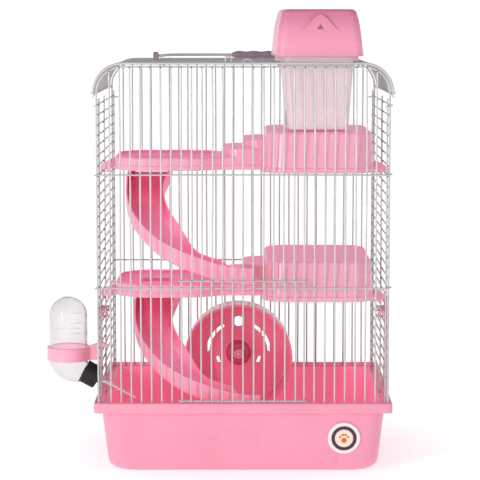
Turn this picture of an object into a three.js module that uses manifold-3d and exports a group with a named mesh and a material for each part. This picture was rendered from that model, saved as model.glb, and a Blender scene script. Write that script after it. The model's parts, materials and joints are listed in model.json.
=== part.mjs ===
// Hamster cage: a moulded tub carrying a wire cage, with two moulded storeys joined by slides, a
// running wheel, a feed hopper through the roof, a lift-up door, side latches, a carry handle and a
// drip bottle. Millimetres, +Z up, the front faces -Y, the origin is the centre of the tub's underside.

import * as THREE from 'three';
import { mergeVertices } from 'three/addons/utils/BufferGeometryUtils.js';
import Module from 'manifold-3d';

const wasm = await Module();
wasm.setup();

// ---------------------------------------------------------------- driving dimensions
const TUB = {
  halfX: 172.5, halfY: 137.5, height: 84, wall: 2.5, skirt: 12, rimRadius: 7, baseHalfX: 144.3, bend: 14,
  neck: 7.8,
};
const BADGE = { x: 116.8, y: -126.7, z: 41.5, radius: 19, thickness: 2.2, lean: Math.atan2(6.4, 58) };
const WIRE = 2;                       // wires are drawn square, one wire across
const WELD = 0.3;                     // how far crossing wires sink into each other
const FRAME_WIRE = 3;                 // the roof's thicker end wires
const PANEL = { halfX: 166.5, planeY: 132, foot: 78, top: 469.7, radius: 30 };
const COLUMNS = { outer: 152, count: 27 };
const RAILS = [217, 347];             // heights of the front and back panels' cross rails
const DOORWAY = { first: 8, last: 18 };   // columns that stop short above the doorway
const SIDE = { planeX: 164, halfY: 128.5, innerY: 43, top: 434 };
const RUNGS = { first: 88.9, pitch: 11.65, count: 30 };
const ROOF = { halfX: 170.2, top: 473.5, radius: 33.7, foot: 438, gaps: 21 };
const ROOF_STRINGERS = [-90, 40, 131];
const HOPPER = {
  x: 85.4, y: -69.7, turn: THREE.MathUtils.degToRad(3), foot: 396.5, shoulder: 478, top: 518, lugTop: 480.9,
};
const LID = { foot: 481.2, top: 534.7, wall: 2 };
const DOOR = { low: 86, high: 225.5, halfX: 73.5, bars: 11, barPitch: 12, gap: 0.4 };
const STOREY = { low: 198.6, pitch: 149, band: 15.7, riser: 10.4, stepEdges: [-27, -3, 24], wall: 2 };
const CLIP = { halfWidth: 7, leftY: -25, rightY: -72, rungs: { lower: 9, upper: 22 } };
const LOBE = { shelfX: 153, shelfFront: -80, shelfBack: 62, houseFront: -118, houseBack: 62 };
const CHUTE = {
  half: 23, wall: 2, height: 19, startX: -112, turn: 60, endX: 11, runY: -88.5,
  lead: 29, fall: 122, end: 18, below: 146.8, stations: 21, gateway: 32, holeHalf: 20,
};
const MOUTH = { half: 28, throat: 18, throatAt: 0.15, end: 0.4 };   // the slide's wide upper end
const BELLY = { swell: 8, from: 0.2, to: 0.76 };                    // where its inner wall bows out
const SLIDE_SHIFT = { lower: 9, upper: 0 };                         // to the right, from startX
const WHEEL = { x: -5.85, z: 105, radius: 67.2, front: 40, back: 88, wall: 2.5 };
const AXLE = { radius: 2.9, front: 71, back: 143 };
const HANDLE = {
  pivotY: 0, pivotZ: 480, pinX: 108, armX: 96, reach: 66, wire: 3.4, eyelet: 6, play: 0.5, gripX: 22,
};
const BOTTLE = {
  x: -207.6, y: -56, neckZ: 117.5, radius: 22.5, tilt: THREE.MathUtils.degToRad(28.7),
  low: -16, high: 79.5, wall: 1.5, neck: 13.5, mouth: 11, capStart: 20.6,
};
const SPOUT = { bore: 1.8, radius: 2.5, start: 33, end: 90.5, ball: 1.5 };
const HOLDER = { inner: 23.1, outer: 25.6, low: 3.5, high: 19.5, rung: 4 };
const LATCH = {
  pivotX: 165.7, rung: 7, inner: 173, outer: 176, lip: 169.8, low: 68.4, top: 181.5, halfY: 29, eye: 7,
};
const GAP = 0.3;                      // running or resting gap between neighbouring pieces

const pitchX = (2 * COLUMNS.outer) / (COLUMNS.count - 1);
const rungHeight = (index) => RUNGS.first + RUNGS.pitch * index;
const outsideOffset = WIRE - WELD;    // rails and rungs lie on the outside of the uprights

// ---------------------------------------------------------------- materials
const paint = (color, roughness, metalness = 0) =>
  new THREE.MeshStandardMaterial({ color, roughness, metalness });
const pinkPlastic = paint(0xf0a0bd, 0.35);
const hotPinkPlastic = paint(0xe0447c, 0.35);
const wheelPlastic = paint(0xe0607f, 0.3);
const wireCoat = paint(0xd2d0d2, 0.4, 0.3);
const hazePlastic = paint(0xe6d0d2, 0.3);
const clearPlastic = paint(0xdde4e8, 0.1);
const darkPlastic = paint(0x1d1b1e, 0.5);
const greyPlastic = paint(0x77727a, 0.5);
const steel = paint(0xc9c9cc, 0.2, 1);
const whitePlastic = paint(0xf4eef0, 0.4);

// ---------------------------------------------------------------- solid helpers
function solidOf(geometry) {
  const bare = geometry.index ? geometry.clone() : mergeVertices(geometry.clone());
  bare.deleteAttribute('normal');
  bare.deleteAttribute('uv');
  const merged = mergeVertices(bare, 1e-4);
  return new wasm.Manifold(new wasm.Mesh({
    numProp: 3,
    vertProperties: new Float32Array(merged.attributes.position.array),
    triVerts: new Uint32Array(merged.index.array),
  }));
}

function geometryOf(solid) {
  const mesh = solid.getMesh();
  const geometry = new THREE.BufferGeometry();
  geometry.setAttribute('position', new THREE.BufferAttribute(mesh.vertProperties, 3));
  geometry.setIndex(new THREE.BufferAttribute(mesh.triVerts, 1));
  geometry.computeVertexNormals();
  return geometry;
}

const join = (geometries) => geometries.map(solidOf).reduce((sum, next) => sum.add(next));
const cut = (solid, geometries) => geometries.map(solidOf).reduce((rest, tool) => rest.subtract(tool), solid);

function block(x0, x1, y0, y1, z0, z1) {
  const geometry = new THREE.BoxGeometry(x1 - x0, y1 - y0, z1 - z0);
  return geometry.translate((x0 + x1) / 2, (y0 + y1) / 2, (z0 + z1) / 2);
}

function arcPoints(x, y, radius, from, to, steps) {
  return Array.from({ length: steps + 1 }, (_, i) => {
    const angle = from + ((to - from) * i) / steps;
    return new THREE.Vector2(x + radius * Math.cos(angle), y + radius * Math.sin(angle));
  });
}

function roundedRectangle(halfX, halfY, radius, steps = 4) {
  const quarter = Math.PI / 2;
  const corners = [[1, 1], [-1, 1], [-1, -1], [1, -1]];
  return corners.flatMap(([sx, sy], i) => arcPoints(
    sx * (halfX - radius), sy * (halfY - radius), radius, i * quarter, (i + 1) * quarter, steps,
  ));
}

function extrude(points, depth, holes = []) {
  const shape = new THREE.Shape(points);
  shape.holes = holes.map((hole) => new THREE.Path(hole));
  return new THREE.ExtrudeGeometry(shape, { depth, bevelEnabled: false, steps: 1 });
}

// A profile drawn in X and Z, running along Y from y0 to y1.
const extrudeAlongY = (points, y0, y1, holes = []) =>
  extrude(points, y1 - y0, holes).rotateX(Math.PI / 2).translate(0, y1, 0);

// A profile of radius and height, turned about +Z.
const turned = (profile, sides) =>
  new THREE.LatheGeometry(profile.map(([r, z]) => new THREE.Vector2(r, z)), sides).rotateX(Math.PI / 2);

// A skin over loops that all have the same number of points, closed by a flat cap at each end.
function loft(loops) {
  const size = loops[0].length;
  const positions = loops.flat().flatMap((p) => [p.x, p.y, p.z]);
  const index = [];
  for (let ring = 0; ring + 1 < loops.length; ring += 1) {
    for (let i = 0; i < size; i += 1) {
      const a = ring * size + i;
      const b = ring * size + ((i + 1) % size);
      index.push(a, b, b + size, a, b + size, a + size);
    }
  }
  addCap(index, loops[0], 0, true);
  addCap(index, loops[loops.length - 1], (loops.length - 1) * size, false);
  const geometry = new THREE.BufferGeometry();
  geometry.setAttribute('position', new THREE.Float32BufferAttribute(positions, 3));
  geometry.setIndex(index);
  return geometry;
}

function addCap(index, loop, first, flip) {
  for (let i = 1; i + 1 < loop.length; i += 1) {
    index.push(first, first + (flip ? i + 1 : i), first + (flip ? i : i + 1));
  }
}

const levelLoop = (points, z) => points.map((p) => new THREE.Vector3(p.x, p.y, z));

// ---------------------------------------------------------------- the group
const cage = new THREE.Group();

function place(name, shape, material, parent = cage) {
  const geometry = shape.isBufferGeometry ? shape : geometryOf(shape);
  const mesh = new THREE.Mesh(geometry, material);
  mesh.name = name;
  parent.add(mesh);
  return mesh;
}

// ---------------------------------------------------------------- tub and badge
// Each loop is [inset from the rim's outer edge, height, plan corner radius], from the underside up
// the outside, over the rim and its wire channel, and down the inside to the floor.
function tubLoops() {
  const { bend } = TUB;
  const lower = TUB.halfX - TUB.baseHalfX;
  const outside = [90, 60, 30].map((degrees) => {
    const angle = THREE.MathUtils.degToRad(degrees);
    return [lower - bend * Math.cos(angle), bend - bend * Math.sin(angle), 24];
  });
  const inside = [30, 60, 90].map((degrees) => {
    const angle = THREE.MathUtils.degToRad(degrees);
    const radius = bend - TUB.wall;
    return [lower - radius * Math.cos(angle), bend - radius * Math.sin(angle), 22];
  });
  return [
    ...outside,
    [lower - bend, bend, 24],
    [TUB.neck, TUB.height - TUB.skirt, 24],
    [TUB.neck - 0.3, 74, 24],
    [2, 75, TUB.rimRadius - 2],
    [2, TUB.height - TUB.skirt, TUB.rimRadius - 2],
    [0, TUB.height - TUB.skirt, TUB.rimRadius],
    [0, TUB.height - 1.5, TUB.rimRadius],
    [1, TUB.height, TUB.rimRadius - 1],
    [3, TUB.height, TUB.rimRadius - 3],
    [3.3, 77, TUB.rimRadius - 3.3],
    [10.2, 77, 6],
    [10.4, 80.5, 6],
    [12.4, 80.5, 5],
    [13.4, 74, 22],
    [lower - bend + TUB.wall, bend, 22],
    ...inside,
  ];
}

function tub() {
  return loft(tubLoops().map(([inset, z, radius]) =>
    levelLoop(roundedRectangle(TUB.halfX - inset, TUB.halfY - inset, radius, 3), z)));
}

// A round medallion on the sloping front wall, with a plain raised ring.
function badge() {
  const { radius, thickness } = BADGE;
  return turned([[0, 0], [radius, 0], [radius, 1.6], [radius - 1, thickness], [0, thickness]], 20);
}

place('base_tray', join([tub()]), pinkPlastic);
const badgeMesh = place('badge', join([badge()]), whitePlastic);
badgeMesh.position.set(BADGE.x, BADGE.y, BADGE.z);
badgeMesh.rotation.x = Math.PI / 2 + BADGE.lean;

// ---------------------------------------------------------------- wire panels
// A band of wire bent into an upside-down U with round shoulders, drawn in X and Z.
function archOutline(halfX, top, radius, foot, thickness, steps = 4) {
  const half = thickness / 2;
  const side = (x, z, r) => {
    const centreX = x - r;
    const centreZ = z - r;
    return [
      new THREE.Vector2(x, foot),
      ...arcPoints(centreX, centreZ, r, 0, Math.PI / 2, steps),
      ...arcPoints(-centreX, centreZ, r, Math.PI / 2, Math.PI, steps),
      new THREE.Vector2(-x, foot),
    ];
  };
  const outer = side(halfX + half, top + half, radius + half);
  const inner = side(halfX - half, top - half, radius - half);
  return [...outer, ...inner.reverse()];
}

function archHeight(x) {
  const past = Math.abs(x) - (PANEL.halfX - PANEL.radius);
  const drop = past > 0 ? PANEL.radius - Math.sqrt(PANEL.radius ** 2 - past ** 2) : 0;
  return PANEL.top - drop;
}

// Front or back panel in its own plane at y = 0, with its outside towards -Y.
function endPanel(hasDoorway) {
  const half = WIRE / 2;
  const pieces = [
    extrudeAlongY(archOutline(PANEL.halfX, PANEL.top, PANEL.radius, PANEL.foot, WIRE), -half, half),
  ];
  for (let i = 0; i < COLUMNS.count; i += 1) {
    const x = -COLUMNS.outer + pitchX * i;
    const isShort = hasDoorway && i >= DOORWAY.first && i <= DOORWAY.last;
    const low = isShort ? RAILS[0] - half : PANEL.foot;
    pieces.push(block(x - half, x + half, -half, half, low, archHeight(x)));
  }
  for (const z of RAILS) {
    const reach = PANEL.halfX + half;
    pieces.push(block(-reach, reach, -outsideOffset - half, -outsideOffset + half, z - half, z + half));
  }
  return join(pieces);
}

// Left side panel: rungs between two end uprights, with two more uprights welded to their inside.
function sidePanel() {
  const half = WIRE / 2;
  const rungX = -SIDE.planeX - outsideOffset;
  const pieces = [];
  for (const y of [-SIDE.halfY, SIDE.halfY]) {
    pieces.push(block(rungX - half, rungX + half, y - half, y + half, PANEL.foot, SIDE.top));
  }
  for (const y of [-SIDE.innerY, SIDE.innerY]) {
    pieces.push(block(-SIDE.planeX - half, -SIDE.planeX + half, y - half, y + half, PANEL.foot, SIDE.top));
  }
  for (let i = 0; i < RUNGS.count; i += 1) {
    const z = rungHeight(i);
    pieces.push(block(rungX - half, rungX + half, -SIDE.halfY, SIDE.halfY, z - half, z + half));
  }
  return join(pieces);
}

// Roof: wires bent over from side to side, tied by stringers that run from front to back.
function roofPanel() {
  const half = WIRE / 2;
  const depth = 2 * PANEL.planeY;
  const pieces = [];
  for (let i = 0; i <= ROOF.gaps; i += 1) {
    const y = -PANEL.planeY + (depth * i) / ROOF.gaps;
    const size = i === 0 || i === ROOF.gaps ? FRAME_WIRE : WIRE;
    const outline = archOutline(ROOF.halfX, ROOF.top, ROOF.radius, ROOF.foot, size, 3);
    pieces.push(extrudeAlongY(outline, y - size / 2, y + size / 2));
  }
  const reach = PANEL.planeY - half - GAP;
  const stringerZ = ROOF.top - outsideOffset;
  for (const x of ROOF_STRINGERS) {
    pieces.push(block(x - half, x + half, -reach, reach, stringerZ - half, stringerZ + half));
  }
  for (const sign of [-1, 1]) {
    const x = sign * (ROOF.halfX - outsideOffset);
    pieces.push(block(x - half, x + half, -reach, reach, ROOF.foot, ROOF.foot + WIRE));
  }
  const opening = block(
    ROOF_STRINGERS[1] + half, ROOF_STRINGERS[2] - half, HOPPER.y - 44.3, HOPPER.y + 44.3,
    ROOF.top - 10, ROOF.top + 10,
  );
  return cut(join(pieces), [opening]);
}

place('front_panel', endPanel(true), wireCoat).position.y = -PANEL.planeY;
const backPanel = place('back_panel', endPanel(false), wireCoat);
backPanel.position.y = PANEL.planeY;
backPanel.rotation.z = Math.PI;
place('left_side_panel', sidePanel(), wireCoat);
place('right_side_panel', sidePanel(), wireCoat).rotation.z = Math.PI;
place('roof_panel', roofPanel(), wireCoat);

// ---------------------------------------------------------------- lift-up door
// Two rods hooked round the uprights beside the doorway, and bars on the outside of the rods.
function liftDoor() {
  const half = WIRE / 2;
  const rodY = -WIRE - DOOR.gap;
  const barY = rodY - outsideOffset;
  const pieces = [];
  for (const z of [DOOR.low, DOOR.high]) {
    const rod = (x0, x1, y0, y1) => block(x0, x1, y0, y1, z - half, z + half);
    pieces.push(rod(-DOOR.halfX - half, DOOR.halfX + half, rodY - half, rodY + half));
    for (const sign of [-1, 1]) {
      const outer = sign * (DOOR.halfX + half);
      const leg = sign * (DOOR.halfX - half);
      const tip = sign * (DOOR.halfX - 7);
      pieces.push(rod(Math.min(outer, leg), Math.max(outer, leg), rodY - half, -rodY + half));
      pieces.push(rod(Math.min(outer, tip), Math.max(outer, tip), -rodY - half, -rodY + half));
    }
  }
  for (let i = 0; i < DOOR.bars; i += 1) {
    const x = (i - (DOOR.bars - 1) / 2) * DOOR.barPitch;
    pieces.push(block(x - half, x + half, barY - half, barY + half, DOOR.low - half, DOOR.high + half));
  }
  return join(pieces);
}

place('front_door', liftDoor(), wireCoat).position.y = -PANEL.planeY;

// ---------------------------------------------------------------- storeys
// Plan of a storey: a shelf lobe on the left, a waist, and a deeper house lobe on the right.
function storeyOutline(inset) {
  const curve = new THREE.Path();
  const left = -LOBE.shelfX + inset;
  const right = LOBE.shelfX - inset;
  const [front, back] = [LOBE.shelfFront + inset, LOBE.shelfBack - inset];
  const [houseFront, houseBack] = [LOBE.houseFront + inset, LOBE.houseBack - inset];
  const [waistFront, waistBack] = [-62 + inset, 34 - inset];
  const round = 30 - inset;
  const house = 24 + inset;
  curve.moveTo(left + round, front);
  curve.lineTo(-62, front);
  curve.bezierCurveTo(-40, front, -36, waistFront, -14, waistFront);
  curve.lineTo(11 + inset, waistFront);
  curve.bezierCurveTo(house + 2, waistFront, house - 6, houseFront, house + round, houseFront);
  curve.lineTo(right - round, houseFront);
  curve.quadraticCurveTo(right, houseFront, right, houseFront + round);
  curve.lineTo(right, houseBack - round);
  curve.quadraticCurveTo(right, houseBack, right - round, houseBack);
  curve.lineTo(house + round, houseBack);
  curve.bezierCurveTo(house - 6, houseBack, house - 2, waistBack, 2, waistBack);
  curve.lineTo(-14, waistBack);
  curve.bezierCurveTo(-36, waistBack, -40, back, -62, back);
  curve.lineTo(left + round, back);
  curve.quadraticCurveTo(left, back, left, back - round);
  curve.lineTo(left, front + round);
  curve.quadraticCurveTo(left, front, left + round, front);
  return curve.getPoints(4).slice(0, -1);
}

// The storey's outer or inner mass: the shelf, two treads and the house's top, each a riser higher.
function storeyMass(inset, foot) {
  const outline = storeyOutline(inset);
  const shelf = solidOf(extrude(outline, STOREY.band - inset - foot).translate(0, 0, foot));
  return STOREY.stepEdges.reduce((mass, edge, i) => {
    const top = STOREY.band + STOREY.riser * (i + 1) - inset;
    const stretch = solidOf(block(edge + inset, LOBE.shelfX + 1, -140, 140, foot, top));
    return mass.add(solidOf(extrude(outline, top - foot).translate(0, 0, foot)).intersect(stretch));
  }, shelf);
}

// A storey moulding, hollow and open underneath, with the hole where the slide leaves the shelf.
function storey(level) {
  const hollow = storeyMass(STOREY.wall, -1);
  const centre = CHUTE.startX + SLIDE_SHIFT[level];
  const hole = block(centre - CHUTE.holeHalf, centre + CHUTE.holeHalf, -34, 6, 0, STOREY.band + 1);
  return cut(storeyMass(0, 0).subtract(hollow), [hole]);
}

const storeyHeights = { lower: STOREY.low, upper: STOREY.low + STOREY.pitch };
for (const [level, z] of Object.entries(storeyHeights)) {
  place(`${level}_platform`, storey(level), pinkPlastic).position.z = z;
}

// Clips that slant down from each storey's ends to hook over a rung of the side panels.
function storeyClip(side, rung) {
  const { halfWidth } = CLIP;
  const start = LOBE.shelfX + GAP;
  const profile = [
    [0, 5], [0, 14], [2, 14], [16.3, 6], [16.3, -4], [14, -4], [14, 2.2], [9.4, 2.2], [9.4, -3], [7, -3],
  ];
  const points = profile.map(([out, up]) => new THREE.Vector2(side * (start + out), rungHeight(rung) + up));
  return extrudeAlongY(side > 0 ? points.reverse() : points, -halfWidth, halfWidth);
}

for (const [level, rung] of Object.entries(CLIP.rungs)) {
  place(`${level}_clip_left`, join([storeyClip(-1, rung)]), pinkPlastic).position.y = CLIP.leftY;
  place(`${level}_clip_right`, join([storeyClip(1, rung)]), pinkPlastic).position.y = CLIP.rightY;
}

// ---------------------------------------------------------------- slides
// Centre line of a slide's floor: towards the front, a quarter turn, then along the front.
function chuteStation(travel) {
  const { lead, fall, end } = CHUTE;
  const startY = CHUTE.runY + CHUTE.turn;
  const bend = (CHUTE.turn * Math.PI) / 2;
  const run = CHUTE.endX - CHUTE.startX - CHUTE.turn;
  const length = lead + bend + run;
  const s = travel * length;
  const height = end + fall * (1 - travel) ** 2.1;
  if (s <= lead) {
    return { x: CHUTE.startX, y: startY + lead - s, heading: -Math.PI / 2, height };
  }
  if (s <= lead + bend) {
    const angle = (s - lead) / CHUTE.turn;
    const x = CHUTE.startX + CHUTE.turn * (1 - Math.cos(angle));
    return { x, y: startY - CHUTE.turn * Math.sin(angle), heading: angle - Math.PI / 2, height };
  }
  return { x: CHUTE.startX + CHUTE.turn + (s - lead - bend), y: CHUTE.runY, heading: 0, height };
}

// How far the channel's two walls stand from its centre line. Both flare into a wide mouth at the
// top; the inner one draws in below it, then bows out on the turn.
function chuteWidths(travel) {
  const { half } = CHUTE;
  const ease = (t) => t * t * (3 - 2 * t);
  const narrowing = ease(Math.min(1, travel / MOUTH.throatAt));
  const beyond = (travel - MOUTH.throatAt) / (MOUTH.end - MOUTH.throatAt);
  const settling = ease(THREE.MathUtils.clamp(beyond, 0, 1));
  const outer = MOUTH.half + (half - MOUTH.half) * settling;
  const along = THREE.MathUtils.clamp((travel - BELLY.from) / (BELLY.to - BELLY.from), 0, 1);
  const swell = BELLY.swell * Math.sin(Math.PI * along) ** 2;
  const inner = MOUTH.half + (MOUTH.throat - MOUTH.half) * narrowing + (half - MOUTH.throat) * settling;
  return { outer, inner: inner + swell };
}

// A U-shaped channel carried along that line.
function chute() {
  const { wall, stations, height: rise } = CHUTE;
  const rings = Array.from({ length: stations }, (_, i) => {
    const travel = i / (stations - 1);
    const { x, y, heading, height } = chuteStation(travel);
    const { outer, inner } = chuteWidths(travel);
    const section = [
      [outer, rise], [outer, -wall], [-inner, -wall], [-inner, rise],
      [wall - inner, rise], [wall - inner, 0], [outer - wall, 0], [outer - wall, rise],
    ];
    return section.map(([across, up]) => new THREE.Vector3(
      x + across * Math.sin(heading), y - across * Math.cos(heading), height + up,
    ));
  });
  return closedChannel(rings);
}

// Skin over U-shaped rings; the two open ends are filled wall by wall.
function closedChannel(rings) {
  const geometry = loft(rings);
  const size = rings[0].length;
  const walls = (rings.length - 1) * size * 6;
  const kept = Array.from(geometry.index.array).slice(0, walls);
  const last = (rings.length - 1) * size;
  const faces = [[0, 1, 6, 7], [1, 2, 5, 6], [2, 3, 4, 5]];
  for (const [a, b, c, d] of faces) {
    kept.push(a, c, b, a, d, c);
    kept.push(last + a, last + b, last + c, last + a, last + c, last + d);
  }
  geometry.setIndex(kept);
  return geometry;
}

// The slide, with its inner wall cut away at the foot so that it opens onto the storey's waist.
function slide() {
  const innerSide = CHUTE.runY + CHUTE.half;
  const { endX, gateway, wall, end } = CHUTE;
  const gap = block(endX - gateway, endX + 1, innerSide - wall - 1, innerSide + 1, end + 0.5, 60);
  return cut(join([chute()]), [gap]);
}

for (const [level, z] of Object.entries(storeyHeights)) {
  const mesh = place(`${level}_slide`, slide(), hotPinkPlastic);
  mesh.position.set(SLIDE_SHIFT[level], 0, z - CHUTE.below);
}

// ---------------------------------------------------------------- running wheel
// Wheel pieces are turned about +Z and then laid so that their axis points to the back.
const alongY = (geometry) => geometry.rotateX(-Math.PI / 2);

function wheelSlot(radius, from, to, halfWidth) {
  const [start, end] = [from, to].map(THREE.MathUtils.degToRad);
  return [
    ...arcPoints(0, 0, radius + halfWidth, start, end, 4),
    ...arcPoints(0, 0, radius - halfWidth, end, start, 4),
  ];
}

function runningWheel() {
  const { radius, front, back, wall } = WHEEL;
  const bore = AXLE.radius + GAP;
  const hub = 15;
  const profile = [
    [bore, back - 10], [hub - 3, back - 10], [hub, back - 7], [hub, back - wall],
    [radius - wall, back - wall], [radius - wall, front + 2], [radius - 3.5, front],
    [radius, front], [radius, back], [bore, back], [bore, back - 10],
  ];
  const drum = solidOf(alongY(turned(profile, 24)));
  const slots = [
    wheelSlot(39, 5, 60, 2), wheelSlot(39, 120, 175, 2), wheelSlot(27, 195, 222, 1.6),
    wheelSlot(27, 318, 345, 1.6), arcPoints(0, 40, 6.5, 0, 2 * Math.PI * (11 / 12), 11),
  ];
  return cut(drum, slots.map((outline) => extrudeAlongY(outline, back - 4, back + 1)));
}

function axle() {
  const { radius, front, back } = AXLE;
  return alongY(turned([[0, front], [radius, front], [radius, back], [0, back]], 12));
}

function axleCap() {
  const start = AXLE.front + 1;
  const [hole, rim] = [AXLE.radius + GAP, 6.5];
  const profile = [[hole, start], [rim, start], [rim, start + 4.5], [hole, start + 4.5], [hole, start]];
  return alongY(turned(profile, 12));
}

// A boss and a plate that lies against the inside of the back panel.
function wheelBracket() {
  const hole = AXLE.radius + GAP;
  const start = WHEEL.back + 1.5;
  const plate = PANEL.planeY - WIRE / 2 - GAP;
  const profile = [
    [hole, start], [8, start], [11, start + 12], [13, plate - 3], [22, plate - 3], [22, plate],
    [hole, plate], [hole, start],
  ];
  return alongY(turned(profile, 16));
}

function wheelNut() {
  const hole = AXLE.radius + GAP;
  const start = PANEL.planeY + outsideOffset + WIRE / 2 + GAP;
  const profile = [
    [hole, start], [14, start], [14, start + 3], [8, start + 6], [hole, start + 6], [hole, start],
  ];
  return alongY(turned(profile, 16));
}

const wheelGroup = new THREE.Group();
wheelGroup.position.set(WHEEL.x, 0, WHEEL.z);
cage.add(wheelGroup);
place('wheel', runningWheel(), wheelPlastic, wheelGroup);
place('wheel_axle', join([axle()]), steel, wheelGroup);
place('axle_cap', join([axleCap()]), pinkPlastic, wheelGroup);
place('wheel_bracket', join([wheelBracket()]), pinkPlastic, wheelGroup);
place('wheel_nut', join([wheelNut()]), pinkPlastic, wheelGroup);

// ---------------------------------------------------------------- feed hopper
// A tapered container, closed at the foot, with lugs that hang it on the roof's wires.
function hopperContainer() {
  const square = (half, inset, z) => levelLoop(roundedRectangle(half - inset, half - inset, 8 - inset), z);
  const shell = (inset, low, high) => loft([
    square(34.8, inset, low), square(39.8, inset, HOPPER.shoulder), square(39.8, inset, high),
  ]);
  const lugLow = ROOF.top + WIRE / 2 + 0.5;
  const lugs = [-1, 1].map((sign) => {
    const [near, far] = [sign * 38, sign * 48];
    return block(Math.min(near, far), Math.max(near, far), -12, 12, lugLow, HOPPER.lugTop);
  });
  const body = join([shell(0, HOPPER.foot, HOPPER.top), ...lugs]);
  const feedSlot = block(-45, -20, -18, 18, HOPPER.foot + 4, HOPPER.foot + 22);
  return cut(body, [shell(STOREY.wall, HOPPER.foot + 2, HOPPER.top + 1), feedSlot]);
}

// A deep lid that drops over the container and stands on its lugs.
function hopperLid() {
  const { foot, top, wall } = LID;
  const shell = (inset, low) => loft([
    levelLoop(roundedRectangle(50.4 - inset, 50.4 - inset, 12 - inset), low),
    levelLoop(roundedRectangle(46 - inset, 46 - inset, 10 - inset / 2), top - 11 - inset / 2),
    levelLoop(roundedRectangle(43 - inset, 43 - inset, 9 - inset / 2), top - 3.5 - inset / 2),
    levelLoop(roundedRectangle(38 - inset, 38 - inset, 7 - inset / 2), top - inset),
  ]);
  return solidOf(shell(0, foot)).subtract(solidOf(shell(wall, foot - 1)));
}

const hopperGroup = new THREE.Group();
hopperGroup.position.set(HOPPER.x, HOPPER.y, 0);
hopperGroup.rotation.z = HOPPER.turn;
cage.add(hopperGroup);
place('hopper_container', hopperContainer(), hazePlastic, hopperGroup);
place('hopper_lid', hopperLid(), pinkPlastic, hopperGroup);

// ---------------------------------------------------------------- carry handle
// A wire bail folded back onto the roof, its ends turned out into two eyelets.
function bail() {
  const corner = 26;
  const bend = 5;
  const { armX, pinX, reach } = HANDLE;
  const half = (sign) => [
    new THREE.Vector3(sign * pinX, 0, 0),
    new THREE.Vector3(sign * (armX + bend), 0, 0),
    new THREE.Vector3(sign * (armX + 1.5), 1.5, 0),
    new THREE.Vector3(sign * armX, bend, 0),
    new THREE.Vector3(sign * armX, reach - corner, 0),
    new THREE.Vector3(sign * (armX - 0.13 * corner), reach - 0.5 * corner, 0),
    new THREE.Vector3(sign * (armX - 0.5 * corner), reach - 0.13 * corner, 0),
    new THREE.Vector3(sign * (armX - corner), reach, 0),
  ];
  const points = [...half(-1), ...half(1).reverse()];
  const turn = Math.PI / 3;
  const radius = HANDLE.wire / 2;
  const rings = points.map((point, i) => {
    const before = points[Math.max(i - 1, 0)];
    const after = points[Math.min(i + 1, points.length - 1)];
    const ahead = after.clone().sub(before).normalize();
    const aside = new THREE.Vector3(-ahead.y, ahead.x, 0);
    return Array.from({ length: 6 }, (_, k) => point.clone()
      .addScaledVector(aside, radius * Math.cos(k * turn))
      .add(new THREE.Vector3(0, 0, radius * Math.sin(k * turn))));
  });
  return loft(rings);
}

// A moulded grip with finger swells, slipped over the middle of the bail.
function handleGrip() {
  const hole = HANDLE.wire / 2 + GAP;
  const swells = [4, 4.9, 4.3, 4.9, 4.3, 4.9, 4.3, 4.9, 4];
  const step = 9;
  const start = -((swells.length - 1) * step) / 2;
  const outline = swells.map((radius, i) => [radius, start + i * step]);
  const profile = [[hole, start], ...outline, [hole, -start], [hole, start]];
  return turned(profile, 10).rotateY(Math.PI / 2);
}

function handleEyelet() {
  const hole = HANDLE.wire / 2 + HANDLE.play;
  const low = ROOF.top + WIRE / 2 + GAP - HANDLE.pivotZ;
  const outline = [
    new THREE.Vector2(-6, low), new THREE.Vector2(6, low),
    ...arcPoints(0, 0, 4.6, -0.1, Math.PI + 0.1, 8),
  ];
  const hollow = arcPoints(0, 0, hole, 0, 2 * Math.PI * (9 / 10), 9);
  return extrude(outline, HANDLE.eyelet, [hollow]).rotateX(Math.PI / 2).rotateZ(Math.PI / 2);
}

const handleGroup = new THREE.Group();
handleGroup.position.set(0, HANDLE.pivotY, HANDLE.pivotZ);
cage.add(handleGroup);
place('carry_handle', join([bail()]), wireCoat, handleGroup);
const grip = place('handle_grip', join([handleGrip()]), greyPlastic, handleGroup);
grip.position.set(HANDLE.gripX, HANDLE.reach, 0);
const eyelets = { left: HANDLE.play - HANDLE.pinX, right: HANDLE.pinX - HANDLE.play - HANDLE.eyelet };
for (const [side, x] of Object.entries(eyelets)) {
  place(`handle_eyelet_${side}`, join([handleEyelet()]), greyPlastic, handleGroup).position.x = x;
}

// ---------------------------------------------------------------- drip bottle
// Pieces on the neck's line are turned about +Z and then tipped over towards the cage.
const bottleGroup = new THREE.Group();
bottleGroup.position.set(BOTTLE.x, BOTTLE.y, BOTTLE.neckZ);
cage.add(bottleGroup);
const onNeckLine = (geometry) => geometry.rotateY(Math.PI / 2 + BOTTLE.tilt);

function bottleMass(inset) {
  const radius = BOTTLE.radius - inset;
  const [low, high] = [BOTTLE.low + inset, BOTTLE.high - inset];
  const profile = [
    [0, low], [radius * 0.75, low + 5], [radius, low + 18],
    [radius, high - 17], [radius * 0.85, high - 6], [0, high],
  ];
  const [thick, thin, end] = [BOTTLE.neck - inset, BOTTLE.mouth - inset, 35 + inset];
  const neck = [[0, 0], [thick, 0], [thick, 19], [thin, 20], [thin, end], [0, end]];
  return join([turned(profile, 16), onNeckLine(turned(neck, 12))]);
}

function bottleCap() {
  const start = BOTTLE.capStart;
  const [thread, hole] = [BOTTLE.mouth + GAP, SPOUT.radius + GAP];
  const profile = [
    [thread, start], [14, start], [14, 39], [12.5, 40.2], [5.5, 40.2], [5.5, 43], [hole, 43],
    [hole, 38], [thread, 38], [thread, start],
  ];
  return onNeckLine(turned(profile, 14));
}

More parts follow.
